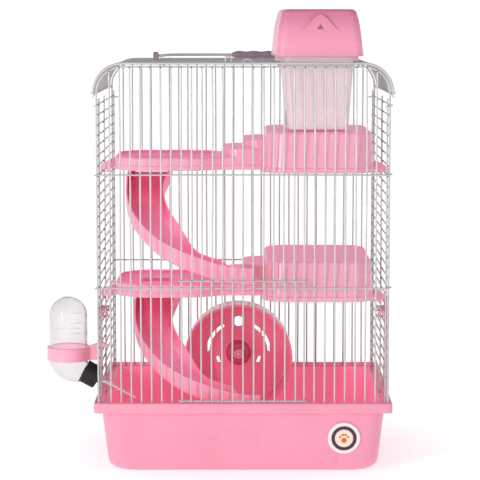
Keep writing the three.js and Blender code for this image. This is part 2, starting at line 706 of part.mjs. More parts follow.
function bottleSeal() {
  const [hole, rim] = [SPOUT.radius + GAP, BOTTLE.mouth];
  return onNeckLine(turned([[hole, 35.4], [rim, 35.4], [rim, 37.6], [hole, 37.6], [hole, 35.4]], 12));
}

function spoutTube() {
  const { bore, radius, start, end } = SPOUT;
  return onNeckLine(turned([[bore, start], [radius, start], [radius, end], [bore, end], [bore, start]], 10));
}

function spoutBall() {
  return onNeckLine(new THREE.SphereGeometry(SPOUT.ball, 8, 6).translate(0, 0, SPOUT.end - 0.7));
}

// A band round the bottle and an arm with a slanting finger that hooks over a rung.
function bottleHolder() {
  const { inner, outer, low, high } = HOLDER;
  const band = turned([[inner, low], [outer, low], [outer, high], [inner, high], [inner, low]], 16);
  const lean = Math.tan(BOTTLE.tilt);
  const rungX = -SIDE.planeX - outsideOffset - BOTTLE.x;
  const rungZ = rungHeight(HOLDER.rung) - BOTTLE.neckZ;
  const underside = (x) => rungZ + 2.4 - lean * (x - rungX);
  const [root, face, tip] = [inner + 0.5, rungX - 2.7, rungX + 5.7];
  const arm = [
    [root, low], [face, low], [face, underside(face)], [tip, underside(tip)],
    [tip, underside(tip) + 3.2], [face, underside(face) + 3.2], [root, high],
  ].map(([x, z]) => new THREE.Vector2(x, z));
  return join([band, extrudeAlongY(arm, -6, 6)]);
}

place('bottle', bottleMass(0).subtract(bottleMass(BOTTLE.wall)), clearPlastic, bottleGroup);
place('bottle_cap', join([bottleCap()]), darkPlastic, bottleGroup);
place('bottle_seal', join([bottleSeal()]), whitePlastic, bottleGroup);
place('spout_tube', join([spoutTube()]), steel, bottleGroup);
place('spout_ball', join([spoutBall()]), steel, bottleGroup);
place('bottle_holder', bottleHolder(), pinkPlastic, bottleGroup);

// ---------------------------------------------------------------- side latches
// Left latch: a plate with a lip under the tub's skirt, hung on a rung by two eyes.
function sideLatch() {
  const pivotZ = rungHeight(LATCH.rung);
  const { inner, outer, lip, low, top, halfY, eye } = LATCH;
  const hook = low + 2.9;
  const plate = [[-inner, top], [-inner, hook], [-lip, hook], [-lip, low], [-outer, low], [-outer, top]];
  const points = plate.map(([x, z]) => new THREE.Vector2(x, z));
  const eyeHole = arcPoints(-LATCH.pivotX, pivotZ, 1.9, 0, 2 * Math.PI * (7 / 8), 7);
  const armOutline = [
    ...arcPoints(-LATCH.pivotX, pivotZ, 3.8, -Math.PI / 2, Math.PI / 2, 6),
    new THREE.Vector2(-inner - 1, pivotZ + 3.8), new THREE.Vector2(-inner - 1, pivotZ - 3.8),
  ];
  const eyes = [-halfY, halfY - eye].map((y) => extrudeAlongY(armOutline, y, y + eye, [eyeHole]));
  return join([extrudeAlongY(points, -halfY, halfY), ...eyes]);
}

place('left_latch', sideLatch(), pinkPlastic);
place('right_latch', sideLatch(), pinkPlastic).rotation.z = Math.PI;

export default cage;
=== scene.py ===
"""A two-storey wire hamster cage: the finished surfaces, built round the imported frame.

Lengths are millimetres while a mesh is drawn, and become metres when the piece is made. The frame's
axes are kept: +Z up, the door faces -Y."""

import json
import math
import random

import bmesh
import bpy
from mathutils import Matrix, Vector


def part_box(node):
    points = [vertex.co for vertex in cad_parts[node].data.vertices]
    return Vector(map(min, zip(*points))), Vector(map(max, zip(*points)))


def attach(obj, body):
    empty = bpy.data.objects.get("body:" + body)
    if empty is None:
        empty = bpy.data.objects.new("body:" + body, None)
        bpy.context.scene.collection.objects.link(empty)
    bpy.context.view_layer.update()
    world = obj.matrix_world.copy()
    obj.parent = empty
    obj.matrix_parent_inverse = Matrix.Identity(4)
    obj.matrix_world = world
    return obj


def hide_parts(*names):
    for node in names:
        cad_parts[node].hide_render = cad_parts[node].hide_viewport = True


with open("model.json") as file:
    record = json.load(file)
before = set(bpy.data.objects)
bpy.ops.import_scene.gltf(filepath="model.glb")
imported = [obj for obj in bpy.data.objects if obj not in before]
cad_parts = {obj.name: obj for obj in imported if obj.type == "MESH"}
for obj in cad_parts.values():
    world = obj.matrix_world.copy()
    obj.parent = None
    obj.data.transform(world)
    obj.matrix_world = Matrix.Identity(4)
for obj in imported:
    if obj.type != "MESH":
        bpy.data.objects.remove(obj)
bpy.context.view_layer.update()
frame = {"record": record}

MM = 0.001
WIRE = 1.0                     # radius of the common wire
HEAVY_WIRE = 1.5               # radius of the roof's two end wires
CROSSING = 1.7                 # between the middles of two wires welded across each other
PANEL_SHOULDER = 30            # radius of an end panel's upper corners
COLUMN_COUNT = 27
COLUMN_SPAN = 152              # the outermost columns' distance from the middle
DOORWAY_COLUMNS = range(8, 19)
DOOR_BARS = 11
DOOR_PITCH = 12
RAIL_HEIGHTS = (217, 347)
TIE_HEIGHTS = (217, 347, 425.5)
RUNG_COUNT = 30
RUNG_FIRST = 10.9              # the lowest rung above the panel's foot
RUNG_PITCH = 11.65
UPRIGHT_Y = (-128, -43, 43, 128)
ROOF_GAPS = 21
ROOF_SHOULDER = 33.7
ROOF_STRINGERS = (-90, 40, 131)
TUB_LEAN = math.atan2(6.4, 58)
HOPPER_TURN = math.radians(3)
NECK_TILT = math.radians(28.7)
BOTTLE_RADIUS = 22.5
SPOUT_RADIUS = 2.5
SPOUT_END = 90.5               # along the neck's line from the bottle's middle
chance = random.Random(7)


# ---------------------------------------------------------------- frame measures
def corners(node):
    """A CAD node's lowest and highest corners, in millimetres."""
    low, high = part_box(node)
    return low / MM, high / MM


def span(node):
    """A CAD node's nearest and farthest Y, in millimetres."""
    low, high = corners(node)
    return low.y, high.y


def joint_place(name):
    """The point that a hinge turns about, in millimetres."""
    joint = next(j for j in frame["record"]["behaviour"]["joints"] if j["name"] == name)
    return Vector(joint["pos_m"]) / MM


# ---------------------------------------------------------------- points
def arc(x, y, radius, start, end, steps):
    """Points of an arc in a plane, with its angles in degrees."""
    angles = [math.radians(start + (end - start) * i / steps) for i in range(steps + 1)]
    return [(x + radius * math.cos(a), y + radius * math.sin(a)) for a in angles]


def circle(sides):
    """Points of a circle of radius 1, each once."""
    return arc(0, 0, 1, 0, 360, sides)[:-1]


def rounded_rectangle(half_x, half_y, radius, steps=8):
    signs = [(1, 1), (-1, 1), (-1, -1), (1, -1)]
    return [
        point
        for i, (sx, sy) in enumerate(signs)
        for point in arc(sx * (half_x - radius), sy * (half_y - radius), radius, 90 * i, 90 * i + 90, steps)
    ]


def soften(points, radius, steps=5, closed=False):
    """The same run of points with each bend rounded."""
    path = [Vector(p) for p in points]
    count = len(path)
    result = [] if closed else [path[0]]
    for i in range(count) if closed else range(1, count - 1):
        before, here, after = path[i - 1], path[i], path[(i + 1) % count]
        reach = min(radius, (before - here).length * 0.48, (after - here).length * 0.48)
        start = here + (before - here).normalized() * reach
        end = here + (after - here).normalized() * reach
        for k in range(steps + 1):
            t = k / steps
            result.append(start * (1 - t) ** 2 + here * 2 * t * (1 - t) + end * t * t)
    return result if closed else [*result, path[-1]]


def level(points, z):
    return [Vector((x, y, z)) for x, y in points]

# ---------------------------------------------------------------- mesh building
def skin(bm, loops, ring=False, mark=0, marks=None):
    """Faces over loops of equal length, as a solid with caps or as a closed ring of loops. marks gives
    each side of the loops its own material."""
    rows = [[bm.verts.new(p) for p in loop] for loop in loops]
    size = len(rows[0])
    pairs = list(zip(rows, rows[1:]))
    if ring:
        pairs.append((rows[-1], rows[0]))
    for low, high in pairs:
        for i in range(size):
            j = (i + 1) % size
            face = bm.faces.new((low[i], low[j], high[j], high[i]))
            face.material_index = marks[i] if marks else mark
    if not ring:
        for cap in (rows[0][::-1], rows[-1]):
            bm.faces.new(cap).material_index = mark


def solid(loops):
    """A new bmesh with one capped skin over the loops."""
    bm = bmesh.new()
    skin(bm, loops)
    return bm


def tint(bm, mark, wanted):
    """Gives the faces whose centre and normal pass the test another of the piece's materials."""
    bmesh.ops.recalc_face_normals(bm, faces=bm.faces)
    for face in bm.faces:
        if wanted(face.calc_center_median(), face.normal):
            face.material_index = mark


def wire(bm, points, radius=WIRE, sides=8):
    """A round wire along the points, with softly domed ends."""
    path = [Vector(p) for p in points]
    first = (path[1] - path[0]).normalized()
    last = (path[-1] - path[-2]).normalized()
    dome = 0.45 * radius
    path = [path[0], path[0] + first * dome, *path[1:-1], path[-1] - last * dome, path[-1]]
    end = len(path) - 1
    loops = []
    side = None
    for i, point in enumerate(path):
        ahead = (path[min(i + 1, end)] - path[max(i - 1, 0)]).normalized()
        side = ahead.orthogonal() if side is None else side - ahead * side.dot(ahead)
        side.normalize()
        up = ahead.cross(side)
        size = radius if 0 < i < end else 0.55 * radius
        loops.append([point + size * (side * a + up * b) for a, b in circle(sides)])
    skin(bm, loops)


def lathe(bm, profile, segments=48, place=None, ring=False, mark=0):
    """A profile of radius and height turned about +Z, then moved by a matrix."""
    place = place or Matrix.Identity(4)
    loops = []
    for radius, z in profile:
        r = max(radius, 0.05)
        loops.append([place @ Vector((r * a, r * b, z)) for a, b in circle(segments)])
    skin(bm, loops, ring=ring, mark=mark)


def bead(bm, centre, radius, mark=1):
    """A small lump, such as a spot weld."""
    made = bmesh.ops.create_icosphere(bm, subdivisions=1, radius=radius, matrix=Matrix.Translation(centre))
    for face in {face for vert in made["verts"] for face in vert.link_faces}:
        face.material_index = mark


def prism(bm, outline, start, end):
    """An outline in X and Z drawn out along Y."""
    skin(bm, [[Vector((x, y, z)) for x, z in outline] for y in (start, end)])


def rounded(outline, radius, steps=4):
    """A closed outline in X and Z with each corner rounded."""
    points = soften([(x, 0, z) for x, z in outline], radius, steps, closed=True)
    return [(p.x, p.z) for p in points]


def mesh_of(bm, name):
    """A mesh made from a bmesh, which it uses up."""
    mesh = bpy.data.meshes.new(name)
    bm.to_mesh(mesh)
    bm.free()
    return mesh


def put(name, data):
    """A new object in the scene."""
    made = bpy.data.objects.new(name, data)
    bpy.context.scene.collection.objects.link(made)
    return made


def combine(first, second, operation):
    """One solid made of two, both given as bmeshes, which it uses up."""
    objects = []
    for bm in (first, second):
        bmesh.ops.recalc_face_normals(bm, faces=bm.faces)
        objects.append(put("solid", mesh_of(bm, "solid")))
    modifier = objects[0].modifiers.new("solid", "BOOLEAN")
    modifier.operation = operation
    modifier.object = objects[1]
    modifier.solver = "MANIFOLD"
    result = bmesh.new()
    result.from_object(objects[0], bpy.context.evaluated_depsgraph_get())
    for obj in objects:
        mesh = obj.data
        bpy.data.objects.remove(obj)
        bpy.data.meshes.remove(mesh)
    return result


def make(name, bm, materials, body, node, bevel=0.0, angle=38):
    """Turns the bmesh into a finished piece that rides on its body and replaces its node."""
    bmesh.ops.remove_doubles(bm, verts=bm.verts, dist=1e-4)
    bmesh.ops.recalc_face_normals(bm, faces=bm.faces)
    bmesh.ops.scale(bm, vec=(MM, MM, MM), verts=bm.verts)
    mesh = mesh_of(bm, name)
    mesh.polygons.foreach_set("use_smooth", [True] * len(mesh.polygons))
    mesh.set_sharp_from_angle(angle=math.radians(angle))
    for material in materials:
        mesh.materials.append(material)
    piece = put(name, mesh)
    if bevel:
        rounding = piece.modifiers.new("edges", "BEVEL")
        rounding.width = bevel * MM
        rounding.segments = 3
        rounding.limit_method = "ANGLE"
        rounding.angle_limit = math.radians(angle)
    normals = piece.modifiers.new("normals", "WEIGHTED_NORMAL")
    normals.keep_sharp = True
    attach(piece, body)
    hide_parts(node)


def turned(name, profile, place, materials, body, node, segments=48, angle=38, ring=True):
    """A finished piece turned from one profile."""
    bm = bmesh.new()
    lathe(bm, profile, segments, place, ring)
    make(name, bm, materials, body, node, angle=angle)


# ---------------------------------------------------------------- materials
def srgb(red, green, blue):
    """The linear colour of an 8-bit display colour."""
    parts = [value / 255 for value in (red, green, blue)]
    return (*[p / 12.92 if p < 0.04 else ((p + 0.055) / 1.055) ** 2.4 for p in parts], 1.0)


def shade(colour, factor):
    return (*[min(1.0, part * factor) for part in colour[:3]], 1.0)


class Tree:
    """A node tree as it is put together."""

    def __init__(self, tree):
        self.tree = tree

    def node(self, kind, **settings):
        made = self.tree.nodes.new(kind)
        for key, value in settings.items():
            setattr(made, key, value)
        return made

    def find(self, kind):
        return next(n for n in self.tree.nodes if n.type == kind)

    def link(self, source, target):
        self.tree.links.new(source, target)

    def maths(self, operation, *values, clamp=False):
        node = self.node("ShaderNodeMath", operation=operation, use_clamp=clamp)
        for value, socket in zip(values, node.inputs):
            self.link(value, socket)
        return node.outputs[0]

    def axis(self, source, name):
        """One of X, Y and Z of a vector."""
        parts = self.node("ShaderNodeSeparateXYZ")
        self.link(source, parts.inputs[0])
        return parts.outputs[name]

    def spread(self, value, low, high, start=0.3, end=0.7):
        """The value between start and end, spread over low to high."""
        node = self.node("ShaderNodeMapRange")
        self.link(value, node.inputs["Value"])
        for key, number in (("From Min", start), ("From Max", end), ("To Min", low), ("To Max", high)):
            node.inputs[key].default_value = number
        return node.outputs["Result"]


class Look(Tree):
    """A node material as it is put together."""

    def __init__(self, name, roughness=0.5, metallic=0.0):
        self.material = bpy.data.materials.new(name)
        self.material.use_nodes = True
        super().__init__(self.material.node_tree)
        self.shader = self.find("BSDF_PRINCIPLED")
        self.place = self.node("ShaderNodeTexCoord").outputs["Object"]
        self.fix({"Roughness": roughness, "Metallic": metallic})

    def fix(self, values):
        """Sets constants on the shader itself."""
        for key, value in values.items():
            self.shader.inputs[key].default_value = value

    def noise(self, scale, detail=3.0, stretch=(1, 1, 1)):
        """Noise over the piece's own space, with scale in cells per metre."""
        mapping = self.node("ShaderNodeMapping")
        mapping.inputs["Scale"].default_value = stretch
        texture = self.node("ShaderNodeTexNoise")
        texture.inputs["Scale"].default_value = scale
        texture.inputs["Detail"].default_value = detail
        self.link(self.place, mapping.inputs["Vector"])
        self.link(mapping.outputs["Vector"], texture.inputs["Vector"])
        return texture.outputs["Fac"]

    def mix(self, factor, first, second):
        node = self.node("ShaderNodeMix", data_type="RGBA", blend_type="MIX")
        self.link(factor, node.inputs[0])
        for socket, colour in ((node.inputs[6], first), (node.inputs[7], second)):
            if isinstance(colour, tuple):
                socket.default_value = colour
            else:
                self.link(colour, socket)
        return node.outputs[2]

    def clouded(self, colour, scale, detail, dark, pale):
        """The colour in soft patches of a darker and a paler shade."""
        cloud = self.spread(self.noise(scale, detail), 0, 1)
        return self.mix(cloud, shade(colour, dark), shade(colour, pale))

    def edges(self, distance):
        """1 on flat faces, falling to 0 where an outside edge is near."""
        node = self.node("ShaderNodeAmbientOcclusion", samples=4, inside=True)
        node.inputs["Distance"].default_value = distance
        return node.outputs["AO"]

    def bump(self, height, distance):
        node = self.node("ShaderNodeBump")
        node.inputs["Distance"].default_value = distance
        self.link(height, node.inputs["Height"])
        self.link(node.outputs["Normal"], self.shader.inputs["Normal"])

    def colour(self, socket):
        self.link(socket, self.shader.inputs["Base Color"])

    def roughness(self, socket):
        self.link(socket, self.shader.inputs["Roughness"])


def moulded(name, colour, roughness=0.3, clear=0.0, glow=0.0, edge_wear_and_highlight=1.12, lit=0.0, ior=1.46, painted_shading=None):
    """Moulded plastic: faint flow marks, fine orange peel, scuffs, and edges painted paler, partly wear and
    partly a painted highlight. lit is a painted glow that stands in for the light that thin plastic passes on
    to its shaded side, and a low ior is a duller face. The height grading holds two heights in millimetres,
    and the colour and the lit that the plastic has above them: painted shade and glow that change with
    height."""
    look = Look(name)
    look.fix({"IOR": ior, "Transmission Weight": clear, "Emission Color": colour, "Emission Strength": lit})
    look.fix({"Subsurface Weight": glow, "Subsurface Scale": 0.004, "Subsurface Radius": (1.0, 0.45, 0.5)})
    tone = look.clouded(colour, 16, 2, 0.95, 1.03)
    flow = look.spread(look.noise(30, 4, (1, 1, 0.15)), 0, 0.35, 0.5, 0.8)
    tone = look.mix(flow, tone, shade(colour, 0.93))
    # Painted shading by height: between the two heights the colour and the emitted glow blend to the upper
    # values.
    if painted_shading:
        start, end, upper, upper_lit = painted_shading
        height = look.axis(look.place, "Z")
        tone = look.mix(look.spread(height, 0, 1, start * MM, end * MM), tone, upper)
        glowing = look.spread(height, lit, upper_lit, start * MM, end * MM)
        look.link(glowing, look.shader.inputs["Emission Strength"])
    # Edges are painted paler: partly wear from handling, partly a painted highlight where rounded edges catch
    # the light.
    rub_and_highlight = look.spread(look.edges(0.0016), 0.5, 0, 0.35, 0.8)
    look.colour(look.mix(rub_and_highlight, tone, shade(colour, edge_wear_and_highlight)))
    scuffs = look.spread(look.noise(240, 5, (1, 1, 0.08)), 0, 0.16, 0.6, 0.72)
    patch = look.spread(look.noise(45, 3), roughness - 0.05, roughness + 0.06)
    look.roughness(look.maths("ADD", patch, scuffs, clamp=True))
    look.bump(look.maths("ADD", look.noise(1400, 2), look.noise(160, 2), clamp=True), 0.00006)
    return look.material


def coated_wire():
    """Pale coated steel wire: thin patches, a few small chips and a little grime."""
    look = Look("wire_coat", metallic=0.2)
    tone = look.clouded(srgb(187, 188, 189), 24, 3, 0.92, 1.05)
    chips = look.spread(look.noise(300, 3), 0, 0.4, 0.74, 0.8)
    look.colour(look.mix(chips, tone, srgb(146, 138, 146)))
    look.roughness(look.spread(look.noise(70, 3), 0.36, 0.48))
    look.bump(look.noise(300, 2), 0.00001)
    return look.material


def weld_metal():
    """The dull grey of a spot weld."""
    look = Look("weld_metal", 0.5, 0.4)
    look.colour(look.mix(look.spread(look.noise(900, 3), 0, 1), srgb(92, 84, 92), srgb(150, 142, 150)))
    look.bump(look.noise(1500, 3), 0.0001)
    return look.material


def bright_steel():
    """Drawn steel with fine lines along it."""
    look = Look("bright_steel", metallic=0.75)
    lines = look.noise(900, 4, (1, 1, 0.05))
    look.colour(look.mix(lines, srgb(228, 220, 224), srgb(246, 240, 242)))
    look.roughness(look.spread(lines, 0.2, 0.34))
    look.bump(lines, 0.00003)
    return look.material


def hazy_plastic():
    """Thin milky plastic that lets light through."""
    look = Look("haze_plastic")
    milk = srgb(236, 217, 218)
    # The emission is a painted glow, standing in for light that comes through the thin milky walls.
    look.fix({"Transmission Weight": 0.3, "IOR": 1.35, "Emission Color": milk, "Emission Strength": 0.08})
    look.colour(look.clouded(milk, 22, 3, 0.96, 1.03))
    look.roughness(look.spread(look.noise(60, 3), 0.3, 0.46))
    look.bump(look.noise(1300, 2), 0.00008)
    return look.material


def clear_plastic():
    """Blown clear plastic, faintly hazed by handling, and greyer where the eye looks along the wall."""
    look = Look("clear_plastic")
    look.fix({"Transmission Weight": 1.0, "IOR": 1.5})
    look.colour(look.mix(look.noise(20, 2), srgb(250, 249, 250), srgb(254, 254, 254)))
    look.roughness(look.spread(look.noise(40, 4), 0.02, 0.1))
    look.bump(look.noise(60, 2), 0.00012)
    smoke = look.node("ShaderNodeVolumeAbsorption")
    smoke.inputs["Color"].default_value = (0.2, 0.14, 0.2, 1)
    smoke.inputs["Density"].default_value = 80
    look.link(smoke.outputs["Volume"], look.find("OUTPUT_MATERIAL").inputs["Volume"])
    return look.material


def printed(name, colour):
    """Smooth printed card under a clear film."""
    look = Look(name)
    look.colour(look.mix(look.noise(300, 4), shade(colour, 0.93), shade(colour, 1.04)))
    look.roughness(look.spread(look.noise(120, 2), 0.17, 0.3))
    look.bump(look.noise(1800, 2), 0.00002)
    return look.material


def floor_paper():
    """White paper with a painted glow that is weaker near the cage, so that it reads as white away from the
    cage and a little shaded round it.
    """
    look = Look("floor_paper", 0.8)
    look.fix({"Emission Color": (1, 1, 1, 1)})
    look.colour(look.mix(look.noise(3, 2), srgb(250, 250, 250), srgb(253, 253, 253)))
    look.bump(look.noise(900, 2), 0.00005)
    distance = look.node("ShaderNodeVectorMath", operation="LENGTH")
    look.link(look.place, distance.inputs[0])
    glow = look.spread(distance.outputs["Value"], 0.42, 0.6, 0.16, 0.32)
    look.link(glow, look.shader.inputs["Emission Strength"])
    return look.material


PINK = srgb(240, 164, 187)
pink = moulded("pink_plastic", PINK, 0.22, glow=0.06, lit=0.03)
# A deeper copy of the pink with a small painted glow, for upward faces: painted shade for how light falls on
# the tops.
pink_top_painted_shade = moulded("pink_upper_faces_painted_shade", srgb(254, 170, 206), 0.4, glow=0.06, lit=0.13, ior=1.2)
# A deeper pink with a painted glow for the shelf's sunken floor: painted shade in the recess.
pink_floor_painted_shade = moulded("pink_sunken_floor_painted_shade", srgb(250, 122, 170), 0.4, glow=0.06, lit=0.2, ior=1.15)
tub_pink = moulded("tub_plastic", srgb(231, 150, 174), 0.32, glow=0.06)
# A brighter copy of the pink with a painted glow for the tub's inner faces: painted light bouncing about
# inside the tub.
tub_inside_painted_light = moulded("tub_inner_face_painted_light", srgb(254, 146, 182), 0.36, glow=0.06, lit=0.19, ior=1.25)
slide_wall = moulded("slide_outer_wall", srgb(246, 158, 184), 0.24, glow=0.08, lit=0.08)
wheel_pink = moulded("wheel_plastic", srgb(238, 132, 162), 0.26, edge_wear_and_highlight=1.2, lit=0.08, ior=1.35)
# A darker pink for the hub: painted shade on the conical hub.
wheel_hub_painted_shade = moulded("wheel_hub_plastic", srgb(206, 92, 122), 0.26, edge_wear_and_highlight=1.2)
wheel_rim = moulded("wheel_rim_plastic", srgb(244, 172, 188), 0.22, clear=0.2, edge_wear_and_highlight=1.1)
haze = hazy_plastic()
clear = clear_plastic()
coat = coated_wire()
weld = weld_metal()
steel = bright_steel()
# The dark cap's rib edges are painted much paler: partly wear, partly a painted highlight on the ribs.
black = moulded("dark_plastic", srgb(24, 21, 23), 0.4, edge_wear_and_highlight=2.6)
grey = moulded("grey_plastic", srgb(140, 122, 136), 0.45, lit=0.05)
white = moulded("white_plastic", srgb(240, 236, 238), 0.35, edge_wear_and_highlight=1.03)
wires = [coat, weld]


# ---------------------------------------------------------------- tub
def tub_sections():
    """[inset from the rim's outer edge, height, plan corner radius], from the middle of the underside
    round the outside, over the rim and its wire channel, and down the inside to the floor."""
    rim = corners("base_tray")[1].z
    skirt = rim - 12
    neck = 7.8
    lean = 28.2
    bend = 14
    thickness = 2.5
    underside = [(60, 1.6, 20), (lean + 8, 1.6, 22), (lean + 3, 0, 24)]
    outside = [(lean - x, z, 24) for x, z in arc(0, bend, bend, -90, 0, 8)]
    wall = [(neck, skirt - 1, 24), (neck - 0.3, 73.8, 24)]
    collar = [(2.4, 74.4, 5), (2, 74, 5), (2, skirt + 0.6, 5.2), (1.6, skirt, 5.6), (0.5, skirt, 6.6)]
    rim_side = [(0, skirt + 0.6, 7), (0, rim - 2, 7)]
    rim_top = [(2 - x, z, 5 + x) for x, z in arc(0, rim - 2, 2, 0, 90, 4)]
    channel = [(3, rim, 4.4), (3.4, rim - 0.5, 4), (3.6, 77, 4), (9.8, 77, 4), (10.2, 80.2, 4.5)]
    ledge = [(10.6, 80.8, 5), (12.2, 80.8, 6), (13, 80, 9), (13.8, 73, 22)]
    inside = [(lean - x, z, 22) for x, z in arc(0, bend, bend - thickness, 0, -90, 8)]
    floor = [(70, thickness, 20)]
    return [*underside, *outside, *wall, *collar, *rim_side, *rim_top, *channel, *ledge, *inside, *floor]


def tub():
    high = corners("base_tray")[1]
    bm = solid([level(rounded_rectangle(high.x - i, high.y - i, r, 10), z) for i, z, r in tub_sections()])
    # Inner faces below the rim take the painted-light copy of the pink.
    tint(bm, 1, lambda centre, normal: centre.z < high.z - 3.6 and (
        normal.z > 0.5 or centre.x * normal.x + centre.y * normal.y < 0))
    make("tub", bm, [tub_pink, tub_inside_painted_light], "cage", "base_tray")


def medallion():
    """A round medallion with a raised rim, a dark ring and a small paw print."""
    low, high = corners("badge")
    centre = (low + high) / 2
    radius = (high.x - low.x) / 2
    back = high.y - radius * math.sin(TUB_LEAN)
    place = Matrix.Translation((centre.x, back, centre.z)) @ Matrix.Rotation(math.pi / 2 + TUB_LEAN, 4, "X")
    bm = bmesh.new()
    rim = [(0, 0), (radius, 0), (radius, 1.4), (radius - 0.8, 2.2), (radius * 0.8, 2.0), (0, 2.0)]
    lathe(bm, rim, 64, place)
    ring = [(radius * 0.77, 1.9), (radius * 0.77, 2.3), (radius * 0.56, 2.3), (radius * 0.56, 1.9)]
    lathe(bm, ring, 64, place, ring=True, mark=1)
    lathe(bm, [(0, 1.9), (radius * 0.53, 1.9), (radius * 0.53, 2.2), (0, 2.3)], 48, place, mark=2)
    pads = [(0, -2.4, 3.4), (-4.4, 1.6, 1.5), (-1.6, 4.2, 1.6), (1.6, 4.2, 1.6), (4.4, 1.6, 1.5)]
    for x, y, size in pads:
        dome = [(size * math.cos(a), 0.7 * math.sin(a)) for a in (0, 0.5, 1.0, 1.5)]
        spot = place @ Matrix.Translation((x, y, 2.1))
        lathe(bm, [(0, -0.2), (size, -0.2), *dome], 24, spot, mark=3)
    inks = {"rim": (236, 222, 226), "ring": (58, 38, 40), "field": (240, 214, 196), "print": (196, 112, 52)}
    looks = [printed(f"medallion_{part}", srgb(*ink)) for part, ink in inks.items()]
    make("medallion", bm, looks, "cage", "badge")


# ---------------------------------------------------------------- wire panels
def arch_path(half, top, radius, foot, y, steps=8):
    """The line of an upside-down U with round shoulders."""
    right = arc(half - radius, top - radius, radius, 0, 90, steps)
    left = arc(radius - half, top - radius, radius, 90, 180, steps)
    return [Vector((x, y, z)) for x, z in [(half, foot), *right, *left, (-half, foot)]]


def bowed(x, y, low, high, amount=0.45):
    """An upright wire's line, very slightly out of true, as hand-fitted wires are."""
    side, lean = chance.uniform(-amount, amount), chance.uniform(-amount, amount) * 0.6
    steps = 8
    line = []
    for i in range(steps + 1):
        t = i / steps
        swell = math.sin(math.pi * t)
        line.append((x + side * swell + lean * math.sin(2 * math.pi * t), y, low + (high - low) * t))
    return line


def tie(bm, x, y, z):
    """A ring of wire that ties an end panel's corner to a side panel's."""
    turn = [(x + dx, y + dy, z + 0.25 * dx) for dx, dy in arc(0, 0, 3.6, 0, 345, 18)]
    wire(bm, turn, 0.8, 6)


def corner_wires(bm, half, y, facing):
    """The front panel's ties to the side panels, or the two stubs high on the back panel."""
    for side in (-1, 1):
        if facing < 0:
            for z in TIE_HEIGHTS:
                tie(bm, side * (half - 0.4), y + 1.8, z)
        else:
            z = TIE_HEIGHTS[-1]
            ends = [(side * (half + 1), y + CROSSING, z), (side * (half - 10), y + CROSSING, z - 0.3)]
            wire(bm, ends, 0.8, 6)


def end_panel(name, facing, doorway):
    """Front or back panel. facing is -1 or 1, the side its rails lie on."""
    low, high = corners(name)
    half, top = high.x - WIRE, high.z - WIRE
    y = (high.y if facing < 0 else low.y) + facing * WIRE
    rail_y = y + facing * CROSSING
    bm = bmesh.new()
    wire(bm, arch_path(half, top, PANEL_SHOULDER, low.z, y, 12), WIRE * 1.15, 10)
    for i in range(COLUMN_COUNT):
        x = -COLUMN_SPAN + 2 * COLUMN_SPAN * i / (COLUMN_COUNT - 1)
        past = max(0, abs(x) - (half - PANEL_SHOULDER))
        height = top - PANEL_SHOULDER + math.sqrt(PANEL_SHOULDER ** 2 - past ** 2)
        foot = RAIL_HEIGHTS[0] - 1.5 if doorway and i in DOORWAY_COLUMNS else low.z
        wire(bm, bowed(x, y, foot, height))
        bead(bm, (x, y + facing * 0.6, height - 0.6), 1.25)
        for z in RAIL_HEIGHTS:
            bead(bm, (x, y + facing * 0.9, z), 1.15)
    for z in RAIL_HEIGHTS:
        wire(bm, [(-half - 1, rail_y, z), (0, rail_y, z + 0.2), (half + 1, rail_y, z)])
    corner_wires(bm, half, y, facing)
    make(f"{name}_wires", bm, wires, "cage", name)


def side_panel(name, side):
    """Left or right panel: rungs outside four uprights, with a dark weld at each crossing."""
    low, high = corners(name)
    rung_x = (low.x if side < 0 else high.x) - side * WIRE
    upright_x = rung_x - side * CROSSING
    bm = bmesh.new()
    for y in UPRIGHT_Y:
        wire(bm, [(upright_x, y + dx, z) for dx, _, z in bowed(0, 0, low.z, high.z, 0.5)])
    for i in range(RUNG_COUNT):
        z = low.z + RUNG_FIRST + RUNG_PITCH * i
        sag = chance.uniform(-0.35, 0.35)
        line = [(rung_x, low.y, z), (rung_x, -60, z + sag), (rung_x, 60, z + sag), (rung_x, high.y, z)]
        wire(bm, soften(line, 20, 3), WIRE * 0.9)
        for y in UPRIGHT_Y:
            bead(bm, (upright_x + side * CROSSING / 2, y, z + chance.uniform(-0.3, 0.3)), 1.45)
    make(f"{name}_wires", bm, wires, "cage", name)


def roof_run(bm, line, radius, gap):
    """One bent roof wire, left out between the gap's two ends where a gap is given."""
    if gap is None:
        wire(bm, line, radius, 8 if radius == WIRE else 12)
        return
    y, top = line[0].y, max(p.z for p in line)
    wire(bm, [*[p for p in line if p.x > gap[1]], (gap[1], y, top)], radius)
    wire(bm, [(gap[0], y, top), *[p for p in line if p.x < gap[0]]], radius)


